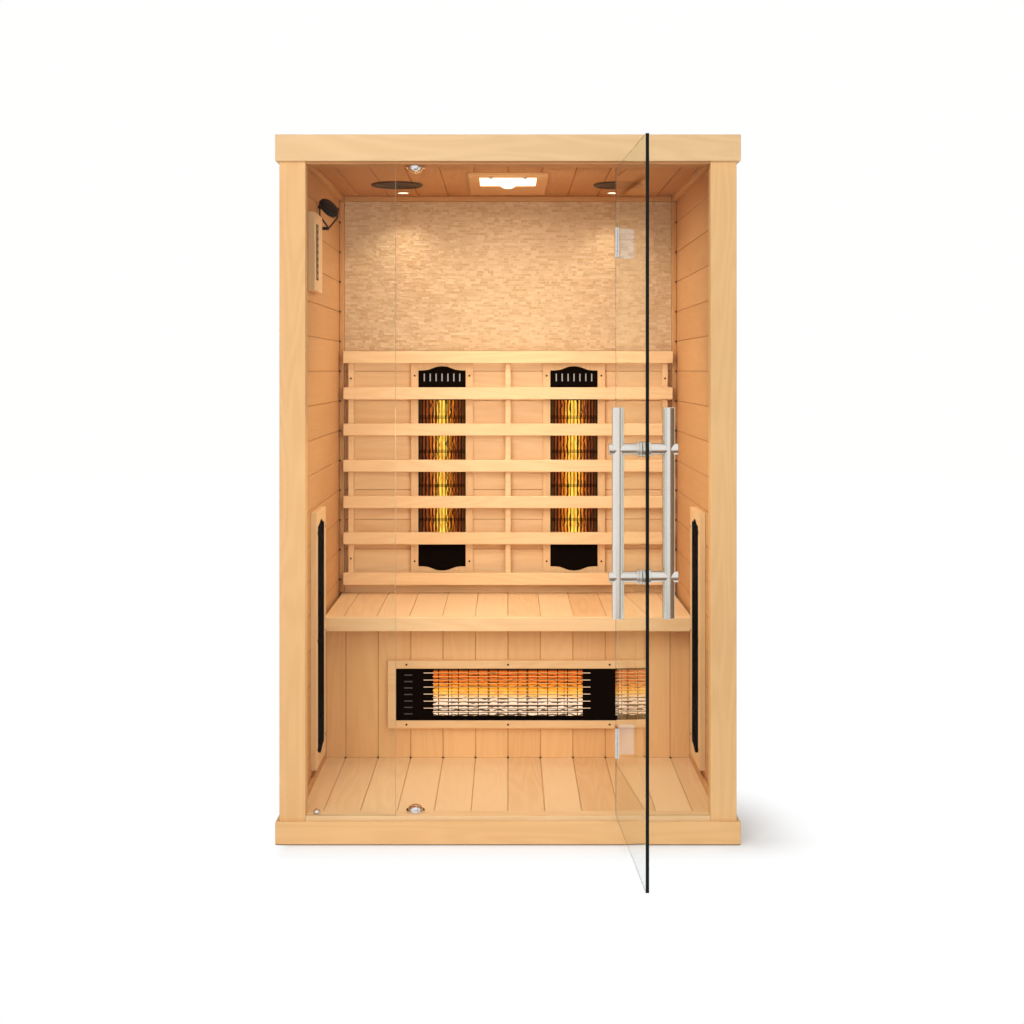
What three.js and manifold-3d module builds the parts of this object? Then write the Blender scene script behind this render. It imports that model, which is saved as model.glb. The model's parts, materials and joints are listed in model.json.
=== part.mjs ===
// Infrared sauna cabin for two people, with a glass front and five heaters.
// Millimetres. X runs to the right, Y to the back and Z up. The origin lies on the ground,
// in the middle of the cabin's footprint. The glass door stands open.

import * as THREE from 'three';
import { mergeVertices } from 'three/addons/utils/BufferGeometryUtils.js';
import Module from 'manifold-3d';

const wasm = await Module();
wasm.setup();

// Clearances
const SEAT_GAP = 0.3; // between pieces that rest on or in each other
const LAP = 1; // how far joined blocks reach into each other

// Cabin shell
const CABIN_WIDTH = 1245; // over the crown and base boards
const CABIN_DEPTH = 1090; // from the front boards to the back wall
const CABIN_HEIGHT = 1900;
const BOARD_THICKNESS = 10; // crown and base boards
const CROWN_HEIGHT = 71;
const BASE_HEIGHT = 63;
const WALL_THICKNESS = 45;
const POST_WIDTH = 70;
const POST_DEPTH = 45;
const FLOOR_TOP = 76;
const LEDGE_HEIGHT = 60; // ledge round the floor that carries the walls and posts
const CEILING_DROP = 44; // ceiling below the top of the cabin
const ROOF_BOARD = 20; // roof board that lies on the walls
const HEAD_DROP = 78; // underside of the rail over the glass, below the top of the cabin
const HEAD_DEPTH = 66;
const PLANK_PITCH = 100;
const PLANK_DATUM = 67; // height of one joint between wall planks
const GROOVE_WIDTH = 4; // V groove between two planks
const GROOVE_DEPTH = 2.5;

// Glass front
const GLASS_THICKNESS = 8;
const GLASS_SETBACK = 4; // behind the front of the posts
const GLASS_BITE = 10; // depth of the glass in its grooves
const DOORWAY_WIDTH = 602;
const DOOR_GAP = 4; // between the door and each fixed pane
const DOOR_FOOT_GAP = 4;
const DOOR_HEAD_GAP = 13;
const DOOR_OPEN_DEGREES = 92.5;

// Glass hinges
const HINGE_INSET = 201; // middle of a hinge from the near end of the door
const HINGE_STANDOFF = 6; // axis in front of the glass
const HINGE_LENGTH = 80;
const HINGE_LEAF_WIDTH = 36;
const HINGE_PLATE = 4;
const HINGE_BARREL_RADIUS = 5.6;
const HINGE_PIN_RADIUS = 2.6;
const HINGE_KNUCKLE = 30; // length of the middle knuckle
const HINGE_LEAF_CLEARANCE = 1; // between a barrel and the leaf plates that pass it
const HINGE_WEB_WIDTH = 18; // web through the notch in the glass
const HINGE_WEB_LENGTH = 42;

// Handle
const HANDLE_LENGTH = 490;
const HANDLE_RADIUS = 14.2;
const HANDLE_HEIGHT = 938; // middle of the bars
const HANDLE_EDGE = 70; // from the free edge of the door
const HANDLE_REACH = 59; // middle of a bar from the middle of the glass
const STANDOFF_RADIUS = 13.6;
const STANDOFF_SPACING = 296;
const STANDOFF_REACH = 80.5; // end of a stand-off from the middle of the glass
const CLAMP_RADIUS = 18.5;
const CLAMP_LENGTH = 12;
const BOLT_RADIUS = 6;
const BOLT_HOLE_RADIUS = 6.6;

// Door stops
const STOP_RADIUS = 26;
const STOP_HEIGHT = 20;
const STOP_RIM = 6;
const STOP_X = -250;
const STOP_GAP = 2; // behind the closed door

// Bench and backrest
const SEAT_TOP = 522;
const SEAT_THICKNESS = 22;
const SEAT_FRONT = 529; // behind the front boards
const SEAT_END_GAP = 11; // between the seat and the side walls
const RAIL_HEIGHT = 43;
const RAIL_THICKNESS = 22;
const APRON_SETBACK = 81; // behind the front rail
const APRON_THICKNESS = 20;
const SLAT_LENGTH = 1100;
const SLAT_HEIGHT = 40;
const SLAT_THICKNESS = 20;
const SLAT_STANDOFF = 60; // front of the slats from the back wall
const SLAT_PITCH = 121;
const TOP_SLAT_DROP = 6; // middle of the top slat below the stone
const BOTTOM_SLAT_RISE = 52; // middle of the bottom slat above the seat
const SLAT_COUNT = 7;
const SLAT_HOUSING = 3; // the end slats are let into the battens
const BATTEN_WIDTH = 18;
const BATTEN_INSET = 15; // outer battens from the ends of the slats
const STONE_WIDTH = 1100;
const STONE_BOTTOM_GAP = 10; // above the frames of the back heaters
const STONE_TOP_GAP = 18; // below the ceiling
const STONE_THICKNESS = 8;

// Heaters
const HEATER_WIDTH = 159; // opening in the frame
const HEATER_LENGTH = 688; // opening from crest to crest
const HEATER_ARCH_RISE = 14.5;
const HEATER_SHOULDER = 14; // flat shoulder beside each arch
const HEATER_SIDE_BAR = 25;
const HEATER_END_BAR = 26;
const HEATER_FRAME_THICKNESS = 18;
const HEATER_FACE_SETBACK = 2; // black plates and guard behind the face of the frame
const HEATER_CASE_MARGIN = 4; // the case reaches under the frame
const HEATER_CASE_DEPTH = 31;
const HEATER_SHEET = 2;
const HEATER_PLATE_LENGTH = 115; // black plate at each end
const HEATER_SLOTS = 7;
const HEATER_SLOT_WIDTH = 4;
const HEATER_SLOT_LENGTH = 26;
const HEATER_SLOT_INSET = 38; // middle of the slots from the crest
const GUARD_WIRES = 13;
const GUARD_BARS = 4;
const GUARD_BAR_PITCH = 115;
const GUARD_WIRE = 1.8;
const GUARD_GAP = 0.2; // between the wires and the bars behind them
const ELEMENT_RADIUS = 9;
const ELEMENT_CAP_RADIUS = 12;
const ELEMENT_CAP_LENGTH = 30;
const BACK_HEATER_X = 222;
const BACK_HEATER_GAP = 48; // frame above the seat
const SIDE_HEATER_RAIL_GAP = 20; // frame in front of the bench rail
const SIDE_HEATER_FLOOR_GAP = 43; // frame above the floor
const BENCH_HEATER_HEIGHT = 274;

// Ceiling fittings
const LIGHT_WIDTH = 240;
const LIGHT_FRONT = 425; // behind the front boards
const LIGHT_LENGTH = 464;
const LIGHT_FRAME_THICKNESS = 12;
const LENS_WIDTH = 172;
const LENS_LENGTH = 213;
const LENS_INSET = 42; // from the front of the light's frame
const LENS_THICKNESS = 9;
const LENS_DOME_RADIUS = 27;
const LENS_DOME_HEIGHT = 22;
const SPEAKER_RADIUS = 82;
const SPEAKER_FLANGE = 6;
const SPEAKER_BODY_RADIUS = 64;
const SPEAKER_BODY_DEPTH = 28;
const SPEAKER_X = 350;
const SPEAKER_DEPTH = 716; // behind the front boards
const DOWNLIGHT_RADIUS = 23;
const DOWNLIGHT_FLANGE = 4;
const DOWNLIGHT_BODY_RADIUS = 16;
const DOWNLIGHT_BODY_DEPTH = 25;
const DOWNLIGHT_X = 345;
const DOWNLIGHT_DEPTH = 916;

// Control panel on the left wall
const PANEL_FRONT = 238; // behind the front boards
const PANEL_WIDTH = 172;
const PANEL_DROP = 136; // top of the panel below the ceiling
const PANEL_HEIGHT = 224;
const PANEL_THICKNESS = 20;
const KEYPAD_INSET = 37;
const KEYPAD_WIDTH = 42;
const KEYPAD_HEIGHT = 160;
const KEYPAD_RECESS = 2;

// Reading lamp on the left wall
const LAMP_WALL_DISTANCE = 33.5; // pivot from the wall
const LAMP_DEPTH = 455; // behind the front boards
const LAMP_DROP = 104; // pivot below the ceiling
const LAMP_YAW_DEGREES = -34;
const LAMP_TILT_DEGREES = 36;
const LAMP_RADIUS = 34;
const LAMP_BEZEL = 6;
const LAMP_DOME = 12;
const LAMP_SIDE_GAP = 3; // between the head and the yoke
const YOKE_RADIUS = 2.5;
const YOKE_EYE_RADIUS = 6;
const YOKE_EYE_LENGTH = 5;
const YOKE_DROP = 60; // from the pivot to the foot of the yoke
const YOKE_KNEE = 25; // from the pivot to the bend in each arm
const YOKE_PIN_RADIUS = 2.2;
const WALL_ROSE_RADIUS = 12;
const WALL_ROSE_THICKNESS = 4;

// Power unit behind the apron, and the inlet in the back wall
const POWER_WIDTH = 300;
const POWER_HEIGHT = 150;
const POWER_DEPTH = 80;
const POWER_X = 300;
const POWER_BOTTOM = 180;
const INLET_RADIUS = 10;
const INLET_FLANGE_RADIUS = 17;
const INLET_FLANGE = 6;
const INLET_RECESS = 14; // pocket in the back of the wall

// Facets of round pieces
const FINE_FACETS = 18;
const COARSE_FACETS = 10;
const ARC_STEPS = 4;

// Planes and edges that several pieces share
const FRONT = -CABIN_DEPTH / 2;
const BACK = CABIN_DEPTH / 2;
const BODY_FRONT = FRONT + BOARD_THICKNESS;
const BODY_HALF = CABIN_WIDTH / 2 - BOARD_THICKNESS;
const INNER_HALF = BODY_HALF - WALL_THICKNESS;
const INNER_BACK = BACK - WALL_THICKNESS;
const POST_BACK = BODY_FRONT + POST_DEPTH;
const POST_INNER = BODY_HALF - POST_WIDTH;
const WALL_TOP = CABIN_HEIGHT - ROOF_BOARD;
const CEILING_HEIGHT = CABIN_HEIGHT - CEILING_DROP;
const HEAD_BOTTOM = CABIN_HEIGHT - HEAD_DROP;
const DOOR_BOTTOM = FLOOR_TOP + DOOR_FOOT_GAP;
const DOOR_TOP = HEAD_BOTTOM - DOOR_HEAD_GAP;
const HINGE_HEIGHTS = { upper: DOOR_TOP - HINGE_INSET, lower: DOOR_BOTTOM + HINGE_INSET };
const GLASS_FRONT = BODY_FRONT + GLASS_SETBACK;
const GLASS_BACK = GLASS_FRONT + GLASS_THICKNESS;
const GLASS_BOTTOM = FLOOR_TOP - GLASS_BITE;
const GLASS_TOP = HEAD_BOTTOM + GLASS_BITE;
const GLASS_OUTER = POST_INNER + GLASS_BITE;
const DOORWAY_HALF = DOORWAY_WIDTH / 2;
const HINGE_X = DOORWAY_HALF;
const HINGE_Y = GLASS_FRONT - HINGE_STANDOFF;
const SLAT_FRONT = INNER_BACK - SLAT_STANDOFF;
const SLAT_BACK = SLAT_FRONT + SLAT_THICKNESS;
const RAIL_FRONT = FRONT + SEAT_FRONT;
const APRON_FRONT = RAIL_FRONT + APRON_SETBACK;
const SEAT_HALF = INNER_HALF - SEAT_END_GAP;
const CASE_HALF_WIDTH = HEATER_WIDTH / 2 + HEATER_CASE_MARGIN;
const CASE_HALF_LENGTH = HEATER_LENGTH / 2 + HEATER_CASE_MARGIN;
const FRAME_HALF_WIDTH = HEATER_WIDTH / 2 + HEATER_SIDE_BAR;
const FRAME_HALF_LENGTH = HEATER_LENGTH / 2 + HEATER_END_BAR;
const BACK_HEATER_HEIGHT = SEAT_TOP + BACK_HEATER_GAP + FRAME_HALF_LENGTH;
const SIDE_HEATER_HEIGHT = FLOOR_TOP + SIDE_HEATER_FLOOR_GAP + FRAME_HALF_LENGTH;
const SIDE_HEATER_Y = RAIL_FRONT - SIDE_HEATER_RAIL_GAP - FRAME_HALF_WIDTH;
const STONE_BOTTOM = BACK_HEATER_HEIGHT + FRAME_HALF_LENGTH + STONE_BOTTOM_GAP;
const TOP_SLAT_HEIGHT = STONE_BOTTOM - TOP_SLAT_DROP;
const BOTTOM_SLAT_HEIGHT = SEAT_TOP + BOTTOM_SLAT_RISE;

const X_AXIS = new THREE.Vector3(1, 0, 0);
const Y_AXIS = new THREE.Vector3(0, 1, 0);
const Z_AXIS = new THREE.Vector3(0, 0, 1);

// Solids

// A closed geometry as a solid that can be joined and cut. Triangles that have lost
// a side, as at the poles of a turned shape, are left out.
function toSolid(geometry) {
  const bare = geometry.clone();
  bare.deleteAttribute('normal');
  bare.deleteAttribute('uv');
  const merged = mergeVertices(bare, 1e-4);
  const corners = merged.index.array;
  const triangles = [];
  for (let i = 0; i < corners.length; i += 3) {
    const [a, b, c] = corners.slice(i, i + 3);
    if (a !== b && b !== c && c !== a) triangles.push(a, b, c);
  }
  return new wasm.Manifold(new wasm.Mesh({
    numProp: 3,
    vertProperties: new Float32Array(merged.getAttribute('position').array),
    triVerts: new Uint32Array(triangles),
  }));
}

function toGeometry(solid) {
  const mesh = solid.getMesh();
  const geometry = new THREE.BufferGeometry();
  geometry.setAttribute('position', new THREE.BufferAttribute(mesh.vertProperties, 3));
  geometry.setIndex(new THREE.BufferAttribute(mesh.triVerts, 1));
  geometry.computeVertexNormals();
  return geometry;
}

// Joins the first list of geometries and cuts the second list out of the result.
function carve(bodies, cuts = []) {
  let solid = toSolid(bodies[0]);
  for (const body of bodies.slice(1)) solid = solid.add(toSolid(body));
  for (const tool of cuts) solid = solid.subtract(toSolid(tool));
  return toGeometry(solid);
}

// A box between two values on each axis, given in either order.
function block(xs, ys, zs) {
  const size = [xs, ys, zs].map(([low, high]) => Math.abs(high - low));
  const middle = [xs, ys, zs].map(([low, high]) => (low + high) / 2);
  return new THREE.BoxGeometry(...size).translate(...middle);
}

// A round bar between two points.
function bar(from, to, radius, facets = FINE_FACETS) {
  const start = new THREE.Vector3(...from);
  const line = new THREE.Vector3(...to).sub(start);
  const geometry = new THREE.CylinderGeometry(radius, radius, line.length(), facets);
  const turn = new THREE.Quaternion().setFromUnitVectors(Y_AXIS, line.clone().normalize());
  geometry.applyQuaternion(turn);
  return geometry.translate(...start.addScaledVector(line, 0.5).toArray());
}

// A turned piece: [radius, height] points from the bottom of the axis to its top.
function turned(points, facets = FINE_FACETS) {
  const profile = points.map(([radius, height]) => new THREE.Vector2(radius, height));
  return new THREE.LatheGeometry(profile, facets).rotateX(Math.PI / 2);
}

// Quarter of an ellipse from the rim up to the axis, as [radius, height] points.
function domeProfile(radius, rim, height) {
  const points = [];
  for (let step = 0; step <= ARC_STEPS; step += 1) {
    const angle = (step / ARC_STEPS) * (Math.PI / 2);
    const out = step === ARC_STEPS ? 0 : radius * Math.cos(angle);
    points.push([out, rim + (height - rim) * Math.sin(angle)]);
  }
  return points;
}

// Joints between planks: every pitch from the datum, clear of both edges.
function plankJoints([low, high], datum) {
  const joints = [];
  let joint = datum + Math.ceil((low - datum) / PLANK_PITCH) * PLANK_PITCH;
  for (; joint < high; joint += PLANK_PITCH) {
    if (joint - low > GROOVE_WIDTH && high - joint > GROOVE_WIDTH) joints.push(joint);
  }
  return joints;
}

// A panel of planks with V grooves at their joints. The panel reaches over "across" on the
// axis u, over "thick" on the axis v, and its planks run along the third axis over "along".
function plankPanel({ u, v, across, thick, along, datum, grooveLow, grooveHigh }) {
  const joints = plankJoints(across, datum);
  const half = GROOVE_WIDTH / 2;
  const outline = [[across[0], thick[0]]];
  if (grooveLow) {
    for (const joint of joints) {
      outline.push([joint - half, thick[0]], [joint, thick[0] + GROOVE_DEPTH], [joint + half, thick[0]]);
    }
  }
  outline.push([across[1], thick[0]], [across[1], thick[1]]);
  if (grooveHigh) {
    for (const joint of joints.toReversed()) {
      outline.push([joint + half, thick[1]], [joint, thick[1] - GROOVE_DEPTH], [joint - half, thick[1]]);
    }
  }
  outline.push([across[0], thick[1]]);
  const shape = new THREE.Shape(outline.map((point) => new THREE.Vector2(...point)));
  const w = u.clone().cross(v);
  const forward = w.x + w.y + w.z > 0;
  const start = forward ? along[0] : -along[1];
  const depth = along[1] - along[0];
  const geometry = new THREE.ExtrudeGeometry(shape, { depth, bevelEnabled: false });
  return geometry.translate(0, 0, start).applyMatrix4(new THREE.Matrix4().makeBasis(u, v, w));
}

const sauna = new THREE.Group();
sauna.name = 'infrared_sauna_cabin';

// Finishes
const PALE_WOOD = { color: 0xecc48c, roughness: 0.55, metalness: 0 };
const WARM_WOOD = { color: 0xd99a5b, roughness: 0.55, metalness: 0 };
const STONE = { color: 0xd9b98a, roughness: 0.85, metalness: 0 };
const GLASS = { color: 0xdfe8e2, roughness: 0.05, metalness: 0, transparent: true, opacity: 0.3 };
const CHROME = { color: 0xd8d8d8, roughness: 0.12, metalness: 1 };
const BRUSHED_STEEL = { color: 0xb9b7b2, roughness: 0.32, metalness: 1 };
const BLACK_METAL = { color: 0x17130f, roughness: 0.5, metalness: 0.6 };
const BLACK_PLASTIC = { color: 0x141312, roughness: 0.45, metalness: 0 };
const WHITE_PLASTIC = { color: 0xf4efe4, roughness: 0.3, metalness: 0 };
const GLOWING_QUARTZ = { color: 0xff9a2e, roughness: 0.25, metalness: 0, emissive: 0xff6a10 };
const ALUMINIUM = { color: 0xb4b6b8, roughness: 0.4, metalness: 1 };

function addPiece(name, geometry, finish, parent = sauna) {
  const mesh = new THREE.Mesh(geometry, new THREE.MeshStandardMaterial(finish));
  mesh.name = name;
  parent.add(mesh);
  return mesh;
}

// Glass grooves in the floor, head rail and posts share the panes' own sizes.
function glassGroove(side) {
  return block(
    [side * DOORWAY_HALF, side * (GLASS_OUTER + SEAT_GAP)],
    [GLASS_FRONT - SEAT_GAP, GLASS_BACK + SEAT_GAP],
    [GLASS_BOTTOM - SEAT_GAP, GLASS_TOP + SEAT_GAP],
  );
}
const glassGrooves = [glassGroove(-1), glassGroove(1)];

// Heaters: one unit, used five times. In its own frame X is the width, Y the length,
// and Z points into the room from the surface that the unit is let into.
function rectangle(halfWidth, halfLength) {
  const shape = new THREE.Shape();
  shape.moveTo(-halfWidth, -halfLength);
  shape.lineTo(halfWidth, -halfLength);
  shape.lineTo(halfWidth, halfLength);
  shape.lineTo(-halfWidth, halfLength);
  shape.closePath();
  return shape;
}

// Outline of the window, or of what fits into it with a gap all round. The ends are arched
// or straight.
function heaterWindow(arched, gap = 0) {
  const half = HEATER_WIDTH / 2 - gap;
  const crest = HEATER_LENGTH / 2 - gap;
  if (!arched) return rectangle(half, crest);
  const shoulder = crest - HEATER_ARCH_RISE;
  const spring = half - HEATER_SHOULDER;
  const path = new THREE.Shape();
  path.moveTo(-half, -shoulder);
  path.lineTo(-spring, -shoulder);
  path.bezierCurveTo(-spring / 2, -shoulder, -spring / 2, -crest, 0, -crest);
  path.bezierCurveTo(spring / 2, -crest, spring / 2, -shoulder, spring, -shoulder);
  path.lineTo(half, -shoulder);
  path.lineTo(half, shoulder);
  path.lineTo(spring, shoulder);
  path.bezierCurveTo(spring / 2, shoulder, spring / 2, crest, 0, crest);
  path.bezierCurveTo(-spring / 2, crest, -spring / 2, shoulder, -spring, shoulder);
  path.lineTo(-half, shoulder);
  path.closePath();
  return path;
}

// A flat shape drawn out between two heights.
function drawnOut(shape, [low, high]) {
  const options = { depth: high - low, bevelEnabled: false, curveSegments: ARC_STEPS };
  return new THREE.ExtrudeGeometry(shape, options).translate(0, 0, low);
}

function heaterFrame(arched) {
  const shape = rectangle(FRAME_HALF_WIDTH, FRAME_HALF_LENGTH);
  shape.holes.push(heaterWindow(arched));
  return drawnOut(shape, [SEAT_GAP, SEAT_GAP + HEATER_FRAME_THICKNESS]);
}

// A sheet tray with a collar that stands in the frame's window, a black plate at each end
// of the window and a wire guard between them.
function heaterCase(arched) {
  const w = CASE_HALF_WIDTH;
  const l = CASE_HALF_LENGTH;
  const bottom = -HEATER_CASE_DEPTH;
  const face = SEAT_GAP + HEATER_FRAME_THICKNESS - HEATER_FACE_SETBACK;
  const back = face - HEATER_SHEET;
  const inside = HEATER_WIDTH / 2 - SEAT_GAP - HEATER_SHEET;
  const guardHalf = HEATER_LENGTH / 2 - HEATER_PLATE_LENGTH;
  const bore = drawnOut(heaterWindow(arched, SEAT_GAP + HEATER_SHEET), [-HEATER_SHEET - LAP, face + LAP]);
  const hollow = block(
    [HEATER_SHEET - w, w - HEATER_SHEET],
    [HEATER_SHEET - l, l - HEATER_SHEET],
    [bottom + HEATER_SHEET, -HEATER_SHEET],
  );
  const tray = block([-w, w], [-l, l], [bottom, 0]);
  const collar = drawnOut(heaterWindow(arched, SEAT_GAP), [-LAP, face]);
  const plates = carve(
    [drawnOut(heaterWindow(arched, SEAT_GAP + HEATER_SHEET / 2), [back, face])],
    [block([-w, w], [-guardHalf, guardHalf], [back - LAP, face + LAP])],
  );
  const pieces = [carve([tray, collar], [hollow, bore]), plates];
  const wirePitch = (2 * inside) / (GUARD_WIRES + 1);
  const wireEnd = guardHalf + LAP;
  for (let i = 1; i <= GUARD_WIRES; i += 1) {
    const x = -inside + i * wirePitch;
    const wire = [x - GUARD_WIRE / 2, x + GUARD_WIRE / 2];
    pieces.push(block(wire, [-wireEnd, wireEnd], [face - GUARD_WIRE, face - GUARD_GAP]));
  }
  for (let i = 0; i < GUARD_BARS; i += 1) {
    const y = (i - (GUARD_BARS - 1) / 2) * GUARD_BAR_PITCH;
    const rung = [y - GUARD_WIRE / 2, y + GUARD_WIRE / 2];
    const behind = [face - 2 * GUARD_WIRE - GUARD_GAP, face - GUARD_WIRE - GUARD_GAP];
    pieces.push(block([-inside - LAP, inside + LAP], rung, behind));
  }
  const slots = [];
  const slotPitch = HEATER_WIDTH / (HEATER_SLOTS + 1);
  const slotMiddle = HEATER_LENGTH / 2 - HEATER_SLOT_INSET;
  for (let i = 1; i <= HEATER_SLOTS; i += 1) {
    const x = -HEATER_WIDTH / 2 + i * slotPitch;
    slots.push(block(
      [x - HEATER_SLOT_WIDTH / 2, x + HEATER_SLOT_WIDTH / 2],
      [slotMiddle - HEATER_SLOT_LENGTH / 2, slotMiddle + HEATER_SLOT_LENGTH / 2],
      [back - LAP, face + LAP],
    ));
  }
  return carve(pieces, slots);
}

// A quartz tube with a ceramic cap at each end, held between the ends of the case.
function heaterElement() {
  const end = CASE_HALF_LENGTH - HEATER_SHEET - SEAT_GAP;
  const cap = end - ELEMENT_CAP_LENGTH;
  const profile = [
    [0, -end], [ELEMENT_CAP_RADIUS, -end], [ELEMENT_CAP_RADIUS, -cap], [ELEMENT_RADIUS, -cap],
    [ELEMENT_RADIUS, cap], [ELEMENT_CAP_RADIUS, cap], [ELEMENT_CAP_RADIUS, end], [0, end],
  ];
  const middle = -(HEATER_CASE_DEPTH + GUARD_WIRE) / 2;
  const tube = turned(profile, COARSE_FACETS).rotateX(-Math.PI / 2).translate(0, 0, middle);
  return carve([tube]);
}

// The pocket that a unit's case needs in the panel behind it.
function heaterPocket(place) {
  const w = CASE_HALF_WIDTH + SEAT_GAP;
  const l = CASE_HALF_LENGTH + SEAT_GAP;
  const pocket = block([-w, w], [-l, l], [-HEATER_CASE_DEPTH - SEAT_GAP, LAP]);
  place.updateMatrixWorld(true);
  return pocket.applyMatrix4(place.matrixWorld);
}

// Turn is about Z and faces the unit into the room; roll lays it on its side.
function heaterPlace(x, y, z, turn, roll = 0) {
  const place = new THREE.Group();
  place.position.set(x, y, z);
  const upright = new THREE.Matrix4().makeRotationZ(turn);
  upright.multiply(new THREE.Matrix4().makeRotationX(Math.PI / 2));
  upright.multiply(new THREE.Matrix4().makeRotationZ(roll));
  place.setRotationFromMatrix(upright);
  return place;
}

const QUARTER = Math.PI / 2;
const heaterPlaces = {
  back_left: heaterPlace(-BACK_HEATER_X, INNER_BACK, BACK_HEATER_HEIGHT, 0),
  back_right: heaterPlace(BACK_HEATER_X, INNER_BACK, BACK_HEATER_HEIGHT, 0),
  left_side: heaterPlace(-INNER_HALF, SIDE_HEATER_Y, SIDE_HEATER_HEIGHT, QUARTER),
  right_side: heaterPlace(INNER_HALF, SIDE_HEATER_Y, SIDE_HEATER_HEIGHT, -QUARTER),
  bench: heaterPlace(0, APRON_FRONT, BENCH_HEATER_HEIGHT, 0, QUARTER),
};

for (const [name, place] of Object.entries(heaterPlaces)) {
  sauna.add(place);
  const arched = name !== 'bench';
  addPiece(`${name}_heater_frame`, heaterFrame(arched), PALE_WOOD, place);
  addPiece(`${name}_heater_case`, heaterCase(arched), BLACK_METAL, place);
  addPiece(`${name}_heater_element`, heaterElement(), GLOWING_QUARTZ, place);
}

// Floor: a slab with a ledge for the walls, a plank deck and a sill between the posts.
function floorPanel() {
  const slab = block([-BODY_HALF, BODY_HALF], [BODY_FRONT, BACK], [0, LEDGE_HEIGHT]);
  const deckHalf = INNER_HALF - SEAT_GAP;
  const deck = plankPanel({
    u: X_AXIS,
    v: Z_AXIS,
    across: [-deckHalf, deckHalf],
    thick: [LEDGE_HEIGHT - LAP, FLOOR_TOP],
    along: [POST_BACK + SEAT_GAP, INNER_BACK - SEAT_GAP],
    datum: 0,
    grooveHigh: true,
  });
  const sillHalf = POST_INNER - SEAT_GAP;
  const sillDepth = [BODY_FRONT, POST_BACK + SEAT_GAP + LAP];
  const sill = block([-sillHalf, sillHalf], sillDepth, [LEDGE_HEIGHT - LAP, FLOOR_TOP]);
  return carve([slab, deck, sill], glassGrooves);
}
addPiece('floor_panel', floorPanel(), PALE_WOOD);

// Roof: a board on the walls, a plank ceiling between them and a rail over the glass.
function roofPanel() {
  const boardBottom = WALL_TOP + SEAT_GAP;
  const board = block([-BODY_HALF, BODY_HALF], [BODY_FRONT, BACK], [boardBottom, CABIN_HEIGHT]);
  const ceilingHalf = INNER_HALF - SEAT_GAP;
  const ceiling = plankPanel({
    u: X_AXIS,
    v: Z_AXIS,
    across: [-ceilingHalf, ceilingHalf],
    thick: [CEILING_HEIGHT, boardBottom + LAP],
    along: [POST_BACK + SEAT_GAP, INNER_BACK - SEAT_GAP],
    datum: 0,
    grooveLow: true,
  });
  const railHalf = POST_INNER - SEAT_GAP;
  const railDepth = [BODY_FRONT, BODY_FRONT + HEAD_DEPTH];
  const rail = block([-railHalf, railHalf], railDepth, [HEAD_BOTTOM, boardBottom + LAP]);
  const pockets = [];
  for (const side of [-1, 1]) {
    pockets.push(ceilingPocket(side * SPEAKER_X, SPEAKER_DEPTH, SPEAKER_BODY_RADIUS, SPEAKER_BODY_DEPTH));
    pockets.push(
      ceilingPocket(side * DOWNLIGHT_X, DOWNLIGHT_DEPTH, DOWNLIGHT_BODY_RADIUS, DOWNLIGHT_BODY_DEPTH),
    );
  }
  return carve([board, ceiling, rail], [...glassGrooves, ...pockets]);
}

function ceilingPocket(x, depth, radius, height) {
  const y = FRONT + depth;
  const from = [x, y, CEILING_HEIGHT - LAP];
  return bar(from, [x, y, CEILING_HEIGHT + height + SEAT_GAP], radius + SEAT_GAP);
}
addPiece('roof_panel', roofPanel(), WARM_WOOD);

// Side walls, mirrored about the middle of the cabin.
function sideWall(side, pocket) {
  const panel = plankPanel({
    u: Z_AXIS,
    v: X_AXIS,
    across: [LEDGE_HEIGHT + SEAT_GAP, WALL_TOP],
    thick: side > 0 ? [INNER_HALF, BODY_HALF] : [-BODY_HALF, -INNER_HALF],
    along: [POST_BACK + SEAT_GAP, INNER_BACK - SEAT_GAP],
    datum: PLANK_DATUM,
    grooveLow: true,
    grooveHigh: true,
  });
  return carve([panel], [pocket]);
}
addPiece('left_wall', sideWall(-1, heaterPocket(heaterPlaces.left_side)), WARM_WOOD);
addPiece('right_wall', sideWall(1, heaterPocket(heaterPlaces.right_side)), WARM_WOOD);

const inletHeight = POWER_BOTTOM + POWER_HEIGHT / 2;

function backWall() {
  const panel = plankPanel({
    u: Z_AXIS,
    v: Y_AXIS,
    across: [LEDGE_HEIGHT + SEAT_GAP, WALL_TOP],
    thick: [INNER_BACK, BACK],
    along: [-BODY_HALF, BODY_HALF],
    datum: PLANK_DATUM,
    grooveLow: true,
    grooveHigh: true,
  });
  const hole = bar(
    [POWER_X, INNER_BACK - LAP, inletHeight],
    [POWER_X, BACK + LAP, inletHeight],
    INLET_RADIUS + SEAT_GAP,
  );
  const recess = bar(
    [POWER_X, BACK - INLET_RECESS, inletHeight],
    [POWER_X, BACK + LAP, inletHeight],
    INLET_FLANGE_RADIUS + SEAT_GAP,
  );
  const pockets = [heaterPocket(heaterPlaces.back_left), heaterPocket(heaterPlaces.back_right)];
  return carve([panel], [hole, recess, ...pockets]);
}
addPiece('back_wall', backWall(), WARM_WOOD);

// Front posts, each with a groove for its pane.
for (const [name, side] of [['left', -1], ['right', 1]]) {
  const post = block(
    [side * POST_INNER, side * BODY_HALF],
    [BODY_FRONT, POST_BACK],
    [LEDGE_HEIGHT + SEAT_GAP, WALL_TOP],
  );
  addPiece(`${name}_post`, carve([post], [glassGroove(side)]), PALE_WOOD);
}

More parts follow.
